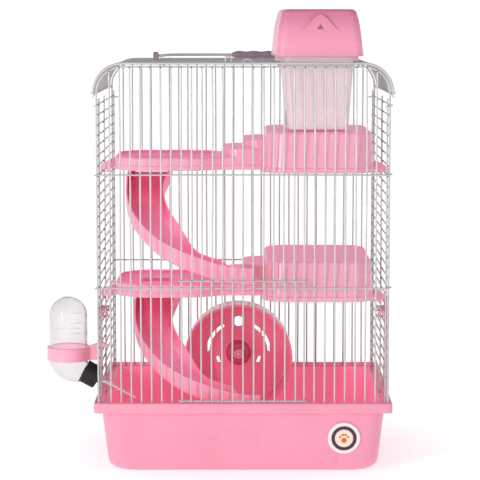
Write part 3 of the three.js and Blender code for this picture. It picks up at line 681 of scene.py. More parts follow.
def roof():
    """Close arches from side to side on three stringers, with a hole for the hopper."""
    low, high = corners("roof_panel")
    hopper_low, hopper_high = corners("hopper_container")
    hole = (hopper_low.y - 2, hopper_high.y + 2)
    half, top = high.x - HEAVY_WIRE, high.z - HEAVY_WIRE
    end_y = high.y - HEAVY_WIRE
    bm = bmesh.new()
    for i in range(ROOF_GAPS + 1):
        y = -end_y + 2 * end_y * i / ROOF_GAPS
        gap = ROOF_STRINGERS[1:] if hole[0] < y < hole[1] else None
        line = arch_path(half, top, ROOF_SHOULDER, low.z, y, 10)
        roof_run(bm, line, HEAVY_WIRE if i in (0, ROOF_GAPS) else WIRE, gap)
        for x in ROOF_STRINGERS:
            bead(bm, (x, y, top - 0.9), 1.3)
    for x in ROOF_STRINGERS:
        wire(bm, [(x, -end_y, top - 1.9), (x, 0, top - 2.1), (x, end_y, top - 1.9)])
    for y in hole:
        wire(bm, [(ROOF_STRINGERS[1] - 1, y, top - 0.1), (ROOF_STRINGERS[2] + 1, y, top - 0.1)])
    for side in (-1, 1):
        x, z = side * (half - 1.9), low.z + 1
        wire(bm, [(x, -end_y, z), (x, end_y, z)])
        for y in (-end_y, end_y):
            wire(bm, [(x, y, z), (side * (half + 3), y - 0.4, z + 1.6)], 0.9)
            wire(bm, [(x, y, z), (side * (half + 0.6), y, z - 4.4)], 0.9)
    roof_staples(bm, 2 - end_y, top)
    make("roof_wires", bm, wires, "cage", "roof_panel")


def roof_staples(bm, y, top):
    """Two small wire loops that stand just behind the roof's front wire."""
    square = [(x, y, top + z) for x, z in ((-20, 0), (-20, 7.6), (-13.5, 7.6), (-13.5, 0))]
    wire(bm, soften(square, 1.2, 3), 0.75)
    wire(bm, [(5 + x, y, top + 0.8 * z) for x, z in arc(0, 0, 6, 0, 180, 12)], 0.8)


def door():
    """Two rods hooked round the uprights beside the doorway, with bars on their outside."""
    low, high = corners("front_door")
    front, back = low.y + WIRE, high.y - WIRE
    half = high.x - WIRE
    rod_heights = (low.z + WIRE, high.z - WIRE)
    bm = bmesh.new()
    for z in rod_heights:
        hook = [(half - 7, back), (half, back), (half, front + CROSSING)]
        line = [(x, y, z) for x, y in hook] + [(-x, y, z) for x, y in hook[::-1]]
        wire(bm, soften(line, 2.2, 6), WIRE, 10)
    for i in range(DOOR_BARS):
        x = (i - (DOOR_BARS - 1) / 2) * DOOR_PITCH
        wire(bm, bowed(x, front, low.z, high.z, 0.3), WIRE, 10)
        for z in rod_heights:
            bead(bm, (x, front + 0.9, z), 1.15)
    make("door_wires", bm, wires, "door", "front_door")


# ---------------------------------------------------------------- storeys
SHELF_BAND = 15.7              # height of the shelf's outer wall
RISER = 10.4                   # height of one tread above the last
STOREY_WALL = 2
SHELF_SINK = 2.5               # the shelf's floor lies this far below its rim
SHELF_FLOOR = 1.2              # and is this thick
SLIDE_X = {"lower": -103, "upper": -112}


def bezier(a, b, c, d, steps=10):
    """Points of a curve in plan, without its last one."""
    result = []
    for i in range(steps):
        t = i / steps
        weights = ((1 - t) ** 3, 3 * t * (1 - t) ** 2, 3 * t * t * (1 - t), t ** 3)
        result.append(tuple(sum(w * p[k] for w, p in zip(weights, (a, b, c, d))) for k in (0, 1)))
    return result


def shelf_outline(inset):
    """Plan of the shelf and the waist that runs on under the house."""
    left, front, back = -153 + inset, -80 + inset, 62 - inset
    waist_front, waist_back = -62 + inset, 34 - inset
    bend = 44 - inset
    near = bezier((-62, front), (-40, front), (-36, waist_front), (-14, waist_front))
    far = bezier((-14, waist_back), (-36, waist_back), (-40, back), (-62, back))
    back_corner = arc(left + bend, back - bend, bend, 90, 180, 12)
    front_corner = arc(left + bend, front + bend, bend, 180, 270, 12)
    waist = [(-14, waist_front), (60, waist_front), (60, waist_back)]
    return [*near, *waist, *far, *back_corner, *front_corner]


def block_outline(x0, x1, y0, y1, radius):
    """A maker of a rounded rectangle between these sides, set in by any amount."""
    centre_x, centre_y = (x0 + x1) / 2, (y0 + y1) / 2

    def outline(inset):
        half_x, half_y = (x1 - x0) / 2 - inset, (y1 - y0) / 2 - inset
        points = rounded_rectangle(half_x, half_y, max(radius - inset, 1), 10)
        return [(centre_x + x, centre_y + y) for x, y in points]

    return outline


def stack(outline, rows):
    """A solid over one plan, with rows of inset and height."""
    return solid([level(outline(inset), z) for inset, z in rows])


def terrace(outline, top, draft):
    """The outside of one level of a storey: a foot that stands proud, a leaning wall, a round edge."""
    groove, edge = 5.6, 3.0
    inset = 0.9 + draft * (top - edge)
    rows = [(0, 0), (0, groove - 0.5), (0.3, groove - 0.1), (0.9 + draft * groove, groove + 0.3)]
    rows += [(inset + edge - x, z) for x, z in arc(0, top - edge, edge, 0, 90, 6)]
    return stack(outline, rows)


def hollow(outline, top, draft):
    """The space inside that level, open below."""
    edge = 1.4
    inset = STOREY_WALL + 0.9 + draft * (top - edge)
    rows = [(STOREY_WALL, -1), (STOREY_WALL + 0.6, 1)]
    rows += [(inset + edge - x, z) for x, z in arc(0, top - edge, edge, 0, 90, 4)]
    return stack(outline, rows)


def tray_pocket():
    """The space over the shelf's sunken floor, inside its raised lip."""
    floor = SHELF_BAND - SHELF_SINK
    rows = [(2.2, floor), (1, floor + 0.3), (0.2, floor + 1.2), (0, SHELF_BAND + 2)]
    return stack(block_outline(-148.5, -33, -75.5, 57.5, 38), rows)


def slide_hole(centre):
    """The square hole in the shelf over a slide's mouth."""
    outline = block_outline(centre - 19.5, centre + 19.5, -33.5, 5.5, 9)
    return stack(outline, [(0, -1), (0, SHELF_BAND + 1)])


def storey(level_name):
    """A moulding of a shelf, two treads and a house, hollow from below."""
    node = f"{level_name}_platform"
    steps = [
        (block_outline(-27, 64, -62, 34, 26), SHELF_BAND + RISER, 0.02),
        (block_outline(-3, 64, -61.8, 33.8, 26), SHELF_BAND + 2 * RISER, 0.02),
        (block_outline(22, 153, -118, 62, 30), SHELF_BAND + 3 * RISER, 0.07),
    ]
    bm = terrace(shelf_outline, SHELF_BAND, 0.02)
    space = hollow(shelf_outline, SHELF_BAND - SHELF_SINK - SHELF_FLOOR, 0.02)
    for outline, top, draft in steps:
        bm = combine(bm, terrace(outline, top, draft), "UNION")
        space = combine(space, hollow(outline, top - STOREY_WALL, draft), "UNION")
    for tool in (tray_pocket(), slide_hole(SLIDE_X[level_name]), space):
        bm = combine(bm, tool, "DIFFERENCE")
    # Upward faces take the painted-shade copy of the pink.
    tint(bm, 1, lambda centre, normal: normal.z > 0.75)
    # The shelf's sunken floor takes the deeper pink: painted shade in the recess, with a painted glow.
    tint(bm, 2, lambda centre, normal: normal.z > 0.4 and centre.x < -33 and (
        -0.5 < centre.z - SHELF_BAND + SHELF_SINK < SHELF_SINK - 0.4))
    bmesh.ops.translate(bm, vec=(0, 0, corners(node)[0].z), verts=bm.verts)
    make(f"{level_name}_storey", bm, [pink, pink_top_painted_shade, pink_floor_painted_shade], "cage", node, angle=32)


def clip(level_name, side_name, side):
    """An arm that slants down from a storey's end and hooks over a rung."""
    node = f"{level_name}_clip_{side_name}"
    low, high = corners(node)
    inner = high.x if side < 0 else low.x
    outline = [(0, 9), (0, 17.6), (2.2, 18), (16, 10.6), (16.3, 9), (16.3, 0), (14, 0), (14, 6.2),
               (9.4, 6.2), (9.4, 1), (7.2, 1)]
    bm = bmesh.new()
    prism(bm, rounded([(inner + side * x, low.z + z) for x, z in outline], 1.2), low.y, high.y)
    make(f"{level_name}_hook_{side_name}", bm, [pink], "cage", node, bevel=0.7)


# ---------------------------------------------------------------- slides
CHUTE_RISE = 19                # height of the channel's outer wall
CHUTE_HALF = 23                # half the channel's width on its lower run
CHUTE_WALL = 2
CHUTE_DROP = 122               # from the mouth's floor to the foot's
CHUTE_FOOT = 18                # height of the foot's floor over the lowest point
CHUTE_TURN = 60                # radius of the quarter turn
CHUTE_RUN_Y = -88.5            # centre line of the last run
CHUTE_LEAD = 29                # length of the first run
MOUTH_HALF = 28
THROAT_HALF = 18               # the inner wall's narrowest distance from the centre line
THROAT_AT = 0.15               # shares of the whole travel
MOUTH_END = 0.4
MOUTH_TUCK = 6                 # how far the outer wall turns in at the very top
BELLY = (0.2, 0.76, 8)         # where the inner wall bows out, and how far


def ease(t):
    """0 up to 1 for t from 0 to 1, with level ends."""
    t = min(1.0, max(0.0, t))
    return t * t * (3 - 2 * t)


def chute_station(travel, start_x, end_x):
    """Place, heading and floor height along a slide: out, a quarter turn, then along the front."""
    bend = CHUTE_TURN * math.pi / 2
    run = end_x - start_x - CHUTE_TURN
    s = travel * (CHUTE_LEAD + bend + run)
    height = CHUTE_FOOT + CHUTE_DROP * (1 - travel) ** 2.1
    start_y = CHUTE_RUN_Y + CHUTE_TURN
    if s <= CHUTE_LEAD:
        return start_x, start_y + CHUTE_LEAD - s, -math.pi / 2, height
    if s <= CHUTE_LEAD + bend:
        angle = (s - CHUTE_LEAD) / CHUTE_TURN
        x = start_x + CHUTE_TURN * (1 - math.cos(angle))
        return x, start_y - CHUTE_TURN * math.sin(angle), angle - math.pi / 2, height
    return start_x + CHUTE_TURN + s - CHUTE_LEAD - bend, CHUTE_RUN_Y, 0.0, height


def chute_widths(travel):
    """The outer and inner walls' distances from the centre line: a wide mouth, then a narrow throat,
    and an inner wall that bows out on the turn."""
    start, end, swell = BELLY
    narrowing = ease(travel / THROAT_AT)
    settling = ease((travel - THROAT_AT) / (MOUTH_END - THROAT_AT))
    outer = MOUTH_HALF + (CHUTE_HALF - MOUTH_HALF) * settling - MOUTH_TUCK * (1 - ease(travel / 0.1))
    inner = MOUTH_HALF + (THROAT_HALF - MOUTH_HALF) * narrowing + (CHUTE_HALF - THROAT_HALF) * settling
    bow = math.sin(math.pi * min(1.0, max(0.0, (travel - start) / (end - start))))
    return outer, inner + swell * bow ** 2


def chute_wall(half, top):
    """One side of the channel's section, from its lip down the outside to the middle, and back up the
    inside, as [across, up]."""
    bowl = 5.0
    lip = [(half - x, top - z) for x, z in ((1.9, 0.3), (1.4, 0), (0.4, 0), (0, 0.6), (0, 1.6))]
    outside = [(half - 0.5 - bowl + x, bowl - CHUTE_WALL - z) for x, z in arc(0, 0, bowl, 0, 90, 5)]
    thickness = (CHUTE_WALL, CHUTE_WALL, CHUTE_WALL, 1.2, 0.6, 0)
    inside = [(x - inset, z + CHUTE_WALL) for (x, z), inset in zip(outside, thickness)]
    return lip, outside, inside


def chute_section(outer, inner, inner_rise):
    """The channel's closed section, and a mark for each of its sides: 1 for the channel's inside."""
    lip, outside, inside = chute_wall(outer, CHUTE_RISE - 0.5)
    far_parts = chute_wall(inner, inner_rise - 0.5)
    far_lip, far_outside, far_inside = ([(-x, z) for x, z in part] for part in far_parts)
    under = [*lip, *outside, *far_outside[::-1], *far_lip[::-1]]
    section = [*under, *far_inside, *inside[::-1]]
    return section, [int(i >= len(under) - 1) for i in range(len(section))]


def channel_painted_look(level_name, base):
    """The channel's inside, in its own material: painted shade in deep pink in the mouth, and paler with a
    painted glow lower down, where more light comes through.
    """
    # Painted shade and glow: deep pink with little glow high in the mouth, paler with more painted glow lower
    # down.
    painted_shading = (base + 70, base + 124, srgb(208, 14, 84), 0.03)
    name = f"{level_name}_slide_channel_painted_shade_and_light"
    return moulded(name, srgb(248, 150, 184), 0.3, glow=0.08, lit=0.19, ior=1.3, painted_shading=painted_shading)


def slide(level_name):
    """A channel swept from the hole in the shelf down to its open foot."""
    node = f"{level_name}_slide"
    high = corners(node)[1]
    base = high.z - CHUTE_RISE - CHUTE_DROP - CHUTE_FOOT
    stations = 64
    loops = []
    for k in range(stations + 1):
        travel = k / stations
        x, y, heading, height = chute_station(travel, SLIDE_X[level_name], high.x)
        inner_rise = CHUTE_RISE - 16 * ease((travel - 0.8) / 0.12)
        section, marks = chute_section(*chute_widths(travel), inner_rise)
        loops.append([
            Vector((x + a * math.sin(heading), y - a * math.cos(heading), base + height + up))
            for a, up in section
        ])
    bm = bmesh.new()
    skin(bm, loops, marks=marks)
    looks = [slide_wall, channel_painted_look(level_name, base)]
    make(f"{level_name}_chute", bm, looks, "cage", node, angle=50)


# ---------------------------------------------------------------- running wheel
WHEEL_HUB = 15
WHEEL_BORE = 3.2
WHEEL_WALL = 2.4
TREADS = 40


def facing_back(centre):
    """Turns a lathe's +Z to the back, +Y, about a point."""
    return Matrix.Translation(centre) @ Matrix.Rotation(-math.pi / 2, 4, "X")


def ring_slot(radius, start, end, half_width):
    """A slot with round ends that follows a circle."""
    first, last = (arc(0, 0, radius, angle, angle, 1)[0] for angle in (start, end))
    outer = arc(0, 0, radius + half_width, start, end, 12)
    inner = arc(0, 0, radius - half_width, end, start, 12)
    last_end = arc(*last, half_width, end, end + 180, 6)[1:-1]
    first_end = arc(*first, half_width, start + 180, start + 360, 6)[1:-1]
    return [*outer, *last_end, *inner, *first_end]


def fins(bm, count, section, start, end, place=None):
    """Fins set round +Z, each a section in X and Y between two heights."""
    for k in range(count):
        turn = (place or Matrix.Identity(4)) @ Matrix.Rotation(2 * math.pi * k / count, 4, "Z")
        skin(bm, [[turn @ Vector((x, y, z)) for x, y in section] for z in (start, end)])


def wheel_profile(radius, front, back):
    """Radius and height: out over the inside of the hub and back, along the drum and round its lip."""
    wall, floor = radius - WHEEL_WALL, back - WHEEL_WALL
    hub = [(WHEEL_BORE, back - 10), (WHEEL_HUB - 4, back - 10), (WHEEL_HUB - 2.6, back - 9.4),
           (WHEEL_HUB - 0.6, back - 4), (WHEEL_HUB + 1, floor - 0.4), (WHEEL_HUB + 2.4, floor)]
    disc = [(30, floor - 0.9), (32, floor - 0.9), (34, floor), (radius - 12, floor),
            (radius - 10.5, floor - 1), (radius - 6, floor - 1)]
    inside = [(wall - 1.2, floor - 2.2), (wall, floor - 5), (wall - 0.6, front + 5), (wall - 1, front + 1)]
    lip = [(wall, front), (radius - 0.8, front), (radius, front + 0.8), (radius, front + 2.6)]
    outside = [(radius - 0.9, front + 3.4), (radius - 0.5, back - 4), (radius - 1, back - 1.2)]
    return [*hub, *disc, *inside, *lip, *outside, (radius - 2.6, back), (WHEEL_BORE, back)]


def wheel():
    """A drum with a closed back, a rolled front lip, slots and low treads."""
    low, high = corners("wheel")
    centre = joint_place("wheel_spin")
    radius = (high.x - low.x) / 2
    front, back = low.y - centre.y, high.y - centre.y
    bm = bmesh.new()
    lathe(bm, wheel_profile(radius, front, back), 96, ring=True)
    slots = [ring_slot(39, 5, 60, 2), ring_slot(39, 120, 175, 2), ring_slot(27, 193, 225, 1.8)]
    slots += [ring_slot(27, 315, 347, 1.8), arc(0, 40, 6.5, 0, 345, 23)]
    for outline in slots:
        tool = solid([[Vector((x, -z, y)) for x, z in outline] for y in (back - 6, back + 2)])
        bm = combine(bm, tool, "DIFFERENCE")
    foot = radius - WHEEL_WALL + 0.2
    tread = [(foot, -1.1), (foot - 0.8, -0.5), (foot - 0.8, 0.5), (foot, 1.1)]
    fins(bm, TREADS, tread, front + 4, back - 7)
    tint(bm, 1, lambda spot, normal: spot.xy.length > radius - 1.6 and spot.z < back - 8)
    # The hub takes the darker pink: painted shade.
    tint(bm, 2, lambda spot, normal: spot.xy.length < WHEEL_HUB + 1.5)
    bmesh.ops.transform(bm, matrix=facing_back(centre), verts=bm.verts)
    make("wheel_drum", bm, [wheel_pink, wheel_rim, wheel_hub_painted_shade], "wheel", "wheel", angle=30)


def wheel_line():
    """Turns a lathe's +Z to the back along the wheel's own line, with the frame's Y as its height."""
    centre = joint_place("wheel_spin")
    return facing_back((centre.x, 0, centre.z))


def wheel_axle(spin):
    """The fixed pin, and the button on its front end."""
    near, far = span("wheel_axle")
    pin = [(0, near), (2.3, near), (2.9, near + 0.8), (2.9, far - 0.8), (2.3, far), (0, far)]
    turned("axle_pin", pin, spin, [steel], "cage", "wheel_axle", 32, ring=False)
    near, far = span("axle_cap")
    cap = [(3.1, far), (6.5, far), (6.5, near + 1.6), (6, near + 0.5), (4.8, near), (3.1, near)]
    turned("axle_button", cap, spin, [pink], "cage", "axle_cap", 40)


def wheel_boss(spin):
    """The mount between the wheel and the back panel, with six ribs."""
    near, far = span("wheel_bracket")
    boss = [(3.2, near), (7.4, near), (8, near + 0.6), (11, near + 12), (12.6, far - 4.4),
            (14.4, far - 3.2), (21, far - 3.2), (22, far - 2.2), (22, far), (3.2, far)]
    rib = [(7, near + 6), (10.4, near + 9), (19.5, far - 3), (9, far - 2.8)]
    ribs = 6
    bm = bmesh.new()
    lathe(bm, boss, 56, spin, ring=True)
    for k in range(ribs):
        turn = spin @ Matrix.Rotation(2 * math.pi * k / ribs, 4, "Z")
        skin(bm, [[turn @ Vector((r, y, z)) for r, z in rib] for y in (-0.9, 0.9)])
    make("wheel_boss", bm, [pink], "cage", "wheel_bracket")


def wheel_knob(spin):
    """The fluted nut behind the back panel."""
    near, far = span("wheel_nut")
    rim = [(13.4, near, 0.9), (14, near + 0.6, 0.9), (14, near + 2.6, 0.9)]
    cone = [(9, far - 1.4, 0), (8, far, 0), (3.2, far, 0), (3.2, near, 0)]
    flutes, sides = 10, 80
    turns = [2 * math.pi * k / sides for k in range(sides)]
    loops = []
    for radius, z, depth in [*rim, *cone]:
        radii = [radius - depth * max(0, math.cos(flutes * a)) ** 3 for a in turns]
        points = [(r * math.cos(a), r * math.sin(a), z) for r, a in zip(radii, turns)]
        loops.append([spin @ Vector(p) for p in points])
    bm = bmesh.new()
    skin(bm, loops, ring=True)
    make("wheel_knob", bm, [pink], "cage", "wheel_nut")


# ---------------------------------------------------------------- feed hopper
HOPPER_SHOULDER = 478          # height at which its walls become upright
LUG_HEIGHTS = (475.2, 480.9)   # of the lugs that rest on the roof
LID_EDGE = 6                   # radius of the lid's top edge
GABLE_FACE = -48.6
GABLE_HALF = 21.5
GABLE_BASE = 29.8              # above the lid's foot
GABLE_PEAK = 17.6              # above its own base


def hopper_place():
    low, high = corners("hopper_container")
    centre = (low + high) / 2
    return Matrix.Translation((centre.x, centre.y, 0)) @ Matrix.Rotation(HOPPER_TURN, 4, "Z")


def square_loop(half, radius, z, place):
    return [place @ p for p in level(rounded_rectangle(half, half, radius, 8), z)]


def hopper():
    """The tapered container: rolled mouth, stiffening step, a feed slot low on its left, four lugs."""
    low, high = corners("hopper_container")
    place = hopper_place()
    foot, mouth, shoulder = low.z, high.z, HOPPER_SHOULDER
    outer = [(2.6, foot), (0.7, foot + 0.8), (0, foot + 2.8), (0, foot + 20), (0, shoulder - 9),
             (0.5, shoulder - 8.4), (0, shoulder - 7.6), (0, mouth - 0.6)]
    inner = [(0.6, mouth), (1.5, mouth), (2, mouth - 0.6), (2, foot + 5), (2.8, foot + 2.8), (5, foot + 2)]
    loops = []
    for inset, z in [*outer, *inner]:
        half = 34.8 + 5.0 * min(1, (z - foot) / (shoulder - foot)) - inset
        loops.append(square_loop(half, 8 - min(inset, 3), z, place))
    slot = [(x - 33, y) for x, y in rounded_rectangle(13, 18, 4, 5)]
    tool = solid([[place @ p for p in level(slot, z)] for z in (foot + 4, foot + 22)])
    bm = combine(solid(loops), tool, "DIFFERENCE")
    lug = [(38.5, -2.4), (47.6, -2.4), (48, 0), (47.6, 2.4), (38.5, 2.4)]
    for side in (-1, 1):
        for y in (-9, 9):
            skin(bm, [[place @ Vector((side * a, y + b, z)) for a, b in lug] for z in LUG_HEIGHTS])
    make("hopper_tub", bm, [haze], "hopper", "hopper_container", angle=32)


def lid_half(t):
    """Half the lid's width at a share of its height: leaning walls that roll over into the top."""
    return 50.4 - 5.6 * t - 4.2 * t ** 6


def lid_mass(place, foot, top, inset):
    """The lid's outside, or the space inside it when it is set in."""
    height = top - foot
    shares = (0.05, 0.2, 0.4, 0.55, 0.68, 0.78, 0.86)
    rows = [(lid_half(t), foot + t * height) for t in shares if (1 - t) * height > LID_EDGE + 1]
    edge = lid_half(1 - LID_EDGE / height) - LID_EDGE
    rows += [(edge + x, z) for x, z in arc(0, top - LID_EDGE, LID_EDGE, 5, 90, 7)]
    if inset:
        rows = [(half - inset, z - inset * (z > top - 8)) for half, z in rows]
        rows.insert(0, (rows[0][0], foot - 1))
    else:
        rows = [(49.9, foot), (50.4, foot + 0.6), (50.4, foot + 1.8), *rows]
    return solid([square_loop(half, 11, z, place) for half, z in rows])


def lid():
    """A loaf-shaped cover with an upright gable on its front."""
    low, high = corners("hopper_lid")
    place = hopper_place()
    foot, top = low.z, high.z
    bm = combine(lid_mass(place, foot, top, 0), gable(place, foot + GABLE_BASE), "UNION")
    for tool in (lid_mass(place, foot, top, 2), gable_vent(place, foot + GABLE_BASE)):
        bm = combine(bm, tool, "DIFFERENCE")
    # Painted shade: towards the top the colour darkens and the glow drops away, where less light falls on the
    # rounding top.
    painted_shading = (foot + 12, top - 4, srgb(206, 122, 150), 0.0)
    look = moulded("cover_plastic_painted_shade", srgb(234, 152, 178), 0.28, glow=0.06, lit=0.02, painted_shading=painted_shading)
    make("hopper_cover", bm, [look], "lid", "hopper_lid", angle=34)


def gable(place, base):
    """An upright face under a bell-shaped ridge, standing out of the leaning front."""
    steps = 24
    outline = []
    for k in range(steps + 1):
        x = GABLE_HALF - 2 * GABLE_HALF * k / steps
        bell = math.cos(math.pi * x / (2 * GABLE_HALF)) ** 1.7
        outline.append((x, 0.6 + (GABLE_PEAK - 0.6) * bell))
    outline += [(-GABLE_HALF, -0.4), (GABLE_HALF, -0.4)]
    slices = [(GABLE_FACE, 0.5), (GABLE_FACE + 0.15, 0.15), (GABLE_FACE + 0.6, 0), (-36, 0)]
    return solid([
        [place @ Vector((x * (1 - s / GABLE_HALF), y, base + z - s * (z > 2))) for x, z in outline]
        for y, s in slices
    ])


def gable_vent(place, base):
    """The small triangular vent in the gable's face."""
    hole = rounded([(-4.2, base + 0.8), (4.2, base + 0.8), (0, base + 6.8)], 0.6, 3)
    return solid([[place @ Vector((x, y, z)) for x, z in hole] for y in (GABLE_FACE - 1, GABLE_FACE + 9)])


# ---------------------------------------------------------------- carry handle
BAIL_RADIUS = 1.7
BAIL_ARM = 96                  # the bail's arms, from the middle


def along_x(y, z):
    """Turns a lathe's +Z to the right, along a line at this depth and height."""
    return Matrix.Translation((0, y, z)) @ Matrix.Rotation(math.pi / 2, 4, "Y")


def bail(pivot):
    """A bent wire whose two ends turn in the eyelets."""
    high = corners("carry_handle")[1]
    reach, arm = high.y - BAIL_RADIUS, BAIL_ARM
    half = [(high.x, 0), (arm + 1, 0), (arm, 1.5), (arm, reach - 26), (arm - 8, reach - 8), (arm - 26, reach)]
    line = soften([(x, y, 0) for x, y in half] + [(-x, y, 0) for x, y in half[::-1]], 12, 6)
    bm = bmesh.new()
    wire(bm, [p + pivot for p in line], BAIL_RADIUS, 12)
    make("handle_bail", bm, [coat], "handle", "carry_handle")


def grip(pivot):
    """A sleeve on the bail with four soft swellings."""
    low, high = corners("handle_grip")
    bore, length, steps = 2.0, high.x - low.x, 48
    outline = []
    for k in range(steps + 1):
        t = k / steps
        swell = 4.35 + 0.5 * math.cos(8 * math.pi * t - math.pi)
        edge = min(1, 12 * t, 12 * (1 - t))
        outline.append((bore + (swell - bore) * math.sqrt(edge), low.x + length * t))
    outline += [(bore, high.x), (bore, low.x)]
    place = along_x((low.y + high.y) / 2, pivot.z)
    turned("handle_sleeve", outline, place, [grey], "handle", "handle_grip", 32, angle=60)


def eyelet(side, pivot):
    """A lug on the roof with a hole for the bail's end."""
    node = f"handle_eyelet_{side}"
    low, high = corners(node)
    foot = low.z - pivot.z
    outline = rounded([(-5.6, foot), (5.6, foot), *arc(0, 0, 4.6, 0, 180, 12)], 0.8, 3)
    bm = solid([[pivot + Vector((x, y, z)) for y, z in outline] for x in (low.x, high.x)])
    hole = bmesh.new()
    lathe(hole, [(2.2, low.x - 1), (2.2, high.x + 1)], 24, along_x(pivot.y, pivot.z))
    bm = combine(bm, hole, "DIFFERENCE")
    make(f"handle_lug_{side}", bm, [grey], "cage", node, bevel=0.5)


# ---------------------------------------------------------------- drip bottle
ELBOW_ARM = 24.2               # from the elbow's pivot to the bottle's middle
NECK_ARM = 15                  # and to the middle of the elbow's lower end
ELBOW_END = 13.5               # radius of the elbow's lower end
BOTTLE_WALL = 1.4
CAP_FOOT = 20.6                # along the neck's line
BAND_INNER, BAND_OUTER = 23.1, 25.6
HOLDER_RUNG = 4                # the rung that the holder hooks over


def bottle_axis():
    """The bottle's middle, at the height where its neck's line crosses its own, and the neck's way. The
    spout's lowest point sets that height."""
    low, high = corners("bottle")
    rise = SPOUT_END * math.sin(NECK_TILT) + SPOUT_RADIUS * math.cos(NECK_TILT)
    centre = Vector((low.x + BOTTLE_RADIUS, (low.y + high.y) / 2, corners("spout_tube")[0].z + rise))
    return centre, Vector((math.cos(NECK_TILT), 0, -math.sin(NECK_TILT)))


def neck_place():
    """Turns a lathe's +Z down along the neck."""
    return Matrix.Translation(bottle_axis()[0]) @ Matrix.Rotation(math.pi / 2 + NECK_TILT, 4, "Y")


def bottle_rings(inset):
    """Centre, tilt and radius of rings from the dome down the body, round the elbow and along the neck."""
    centre, along = bottle_axis()
    radius = BOTTLE_RADIUS - inset
    shoulder = corners("bottle")[1].z - BOTTLE_RADIUS
    rings = []
    for k in range(1, 10):
        a = math.radians(90 - 10 * k)
        spot = Vector((centre.x, centre.y, shoulder + radius * math.sin(a)))
        rings.append((spot, 0.0, radius * math.cos(a)))
    for drop in (10, 30, 44):
        rings.append((Vector((centre.x, centre.y, shoulder - drop)), 0.0, radius))
    pivot = centre + Vector((ELBOW_ARM, 0, 1.6))
    steps = 9
    for k in range(steps + 1):
        share = (k / steps) ** 1.25
        tilt = (math.pi / 2 - NECK_TILT) * k / steps
        arm = ELBOW_ARM + (NECK_ARM - ELBOW_ARM) * share
        spot = pivot - arm * Vector((math.cos(tilt), 0, math.sin(tilt)))
        rings.append((spot, tilt, BOTTLE_RADIUS + (ELBOW_END - BOTTLE_RADIUS) * share - inset))
    for step, size in ((1.2, 13.5), (1.8, 12.4), (2.6, 11), (16, 11)):
        rings.append((spot + along * step, tilt, size - inset))
    return rings


def ring_loop(spot, tilt, radius):
    turn = Matrix.Translation(spot) @ Matrix.Rotation(-tilt, 4, "Y")
    return [turn @ Vector((radius * a, radius * b, 0)) for a, b in circle(48)]


def bottle():
    """Thin walls with five level lines moulded on the outside, two of them long."""
    centre = bottle_axis()[0]
    outer = [ring_loop(*ring) for ring in bottle_rings(0)]
    inner = [ring_loop(*ring) for ring in bottle_rings(BOTTLE_WALL)]
    bm = solid([*outer, *inner[::-1]])
    short, long = (-78, -40), (-138, -46)
    for height, turn in ((62, short), (50, short), (43.5, long), (37.5, short), (31, long)):
        line = arc(centre.x, centre.y, BOTTLE_RADIUS, *turn, 12)
        wire(bm, [(x, y, centre.z + height) for x, y in line], 0.35, 6)
    make("drinking_bottle", bm, [clear], "drip_bottle", "bottle", angle=50)


def bottle_cap(place):
    """A screw cap with upright ribs and a short nozzle."""
    body = [(11.3, CAP_FOOT), (13.6, CAP_FOOT), (14, CAP_FOOT + 0.5), (14, CAP_FOOT + 2.2),
            (12.9, CAP_FOOT + 2.6), (12.9, 39), (12, 40.2), (6, 40.2), (5.5, 40.8), (5.3, 43),
            (2.8, 43), (2.8, 38), (11.3, 38)]
    bm = bmesh.new()
    lathe(bm, body, 64, place, ring=True)
    rib = [(12.5, -0.85), (13.7, -0.55), (13.7, 0.55), (12.5, 0.85)]
    fins(bm, 26, rib, CAP_FOOT + 2.4, 38.6, place)
    make("ribbed_cap", bm, [black], "drip_bottle", "bottle_cap")


def spout(place):
    """The washer in the cap, the steel tube, and the ball that closes its end."""
    washer = [(2.8, 35.4), (10.8, 35.4), (10.8, 37.6), (2.8, 37.6)]
    turned("cap_washer", washer, place, [white], "drip_bottle", "bottle_seal")
    tube = [(1.8, 33), (SPOUT_RADIUS, 33), (SPOUT_RADIUS, 86), (2.35, 89.6), (1.9, SPOUT_END),
            (1.35, SPOUT_END), (1.5, 89), (1.8, 86)]
    turned("drinking_tube", tube, place, [steel], "drip_bottle", "spout_tube", 40, angle=50)
    bm = bmesh.new()
    middle = place @ Matrix.Translation((0, 0, 89.8))
    bmesh.ops.create_uvsphere(bm, u_segments=24, v_segments=16, radius=1.5, matrix=middle)
    bead(bm, place @ Vector((0, 0, 88.6)), 0.7, mark=0)
    make("tube_ball", bm, [steel], "drip_bottle", "spout_ball")


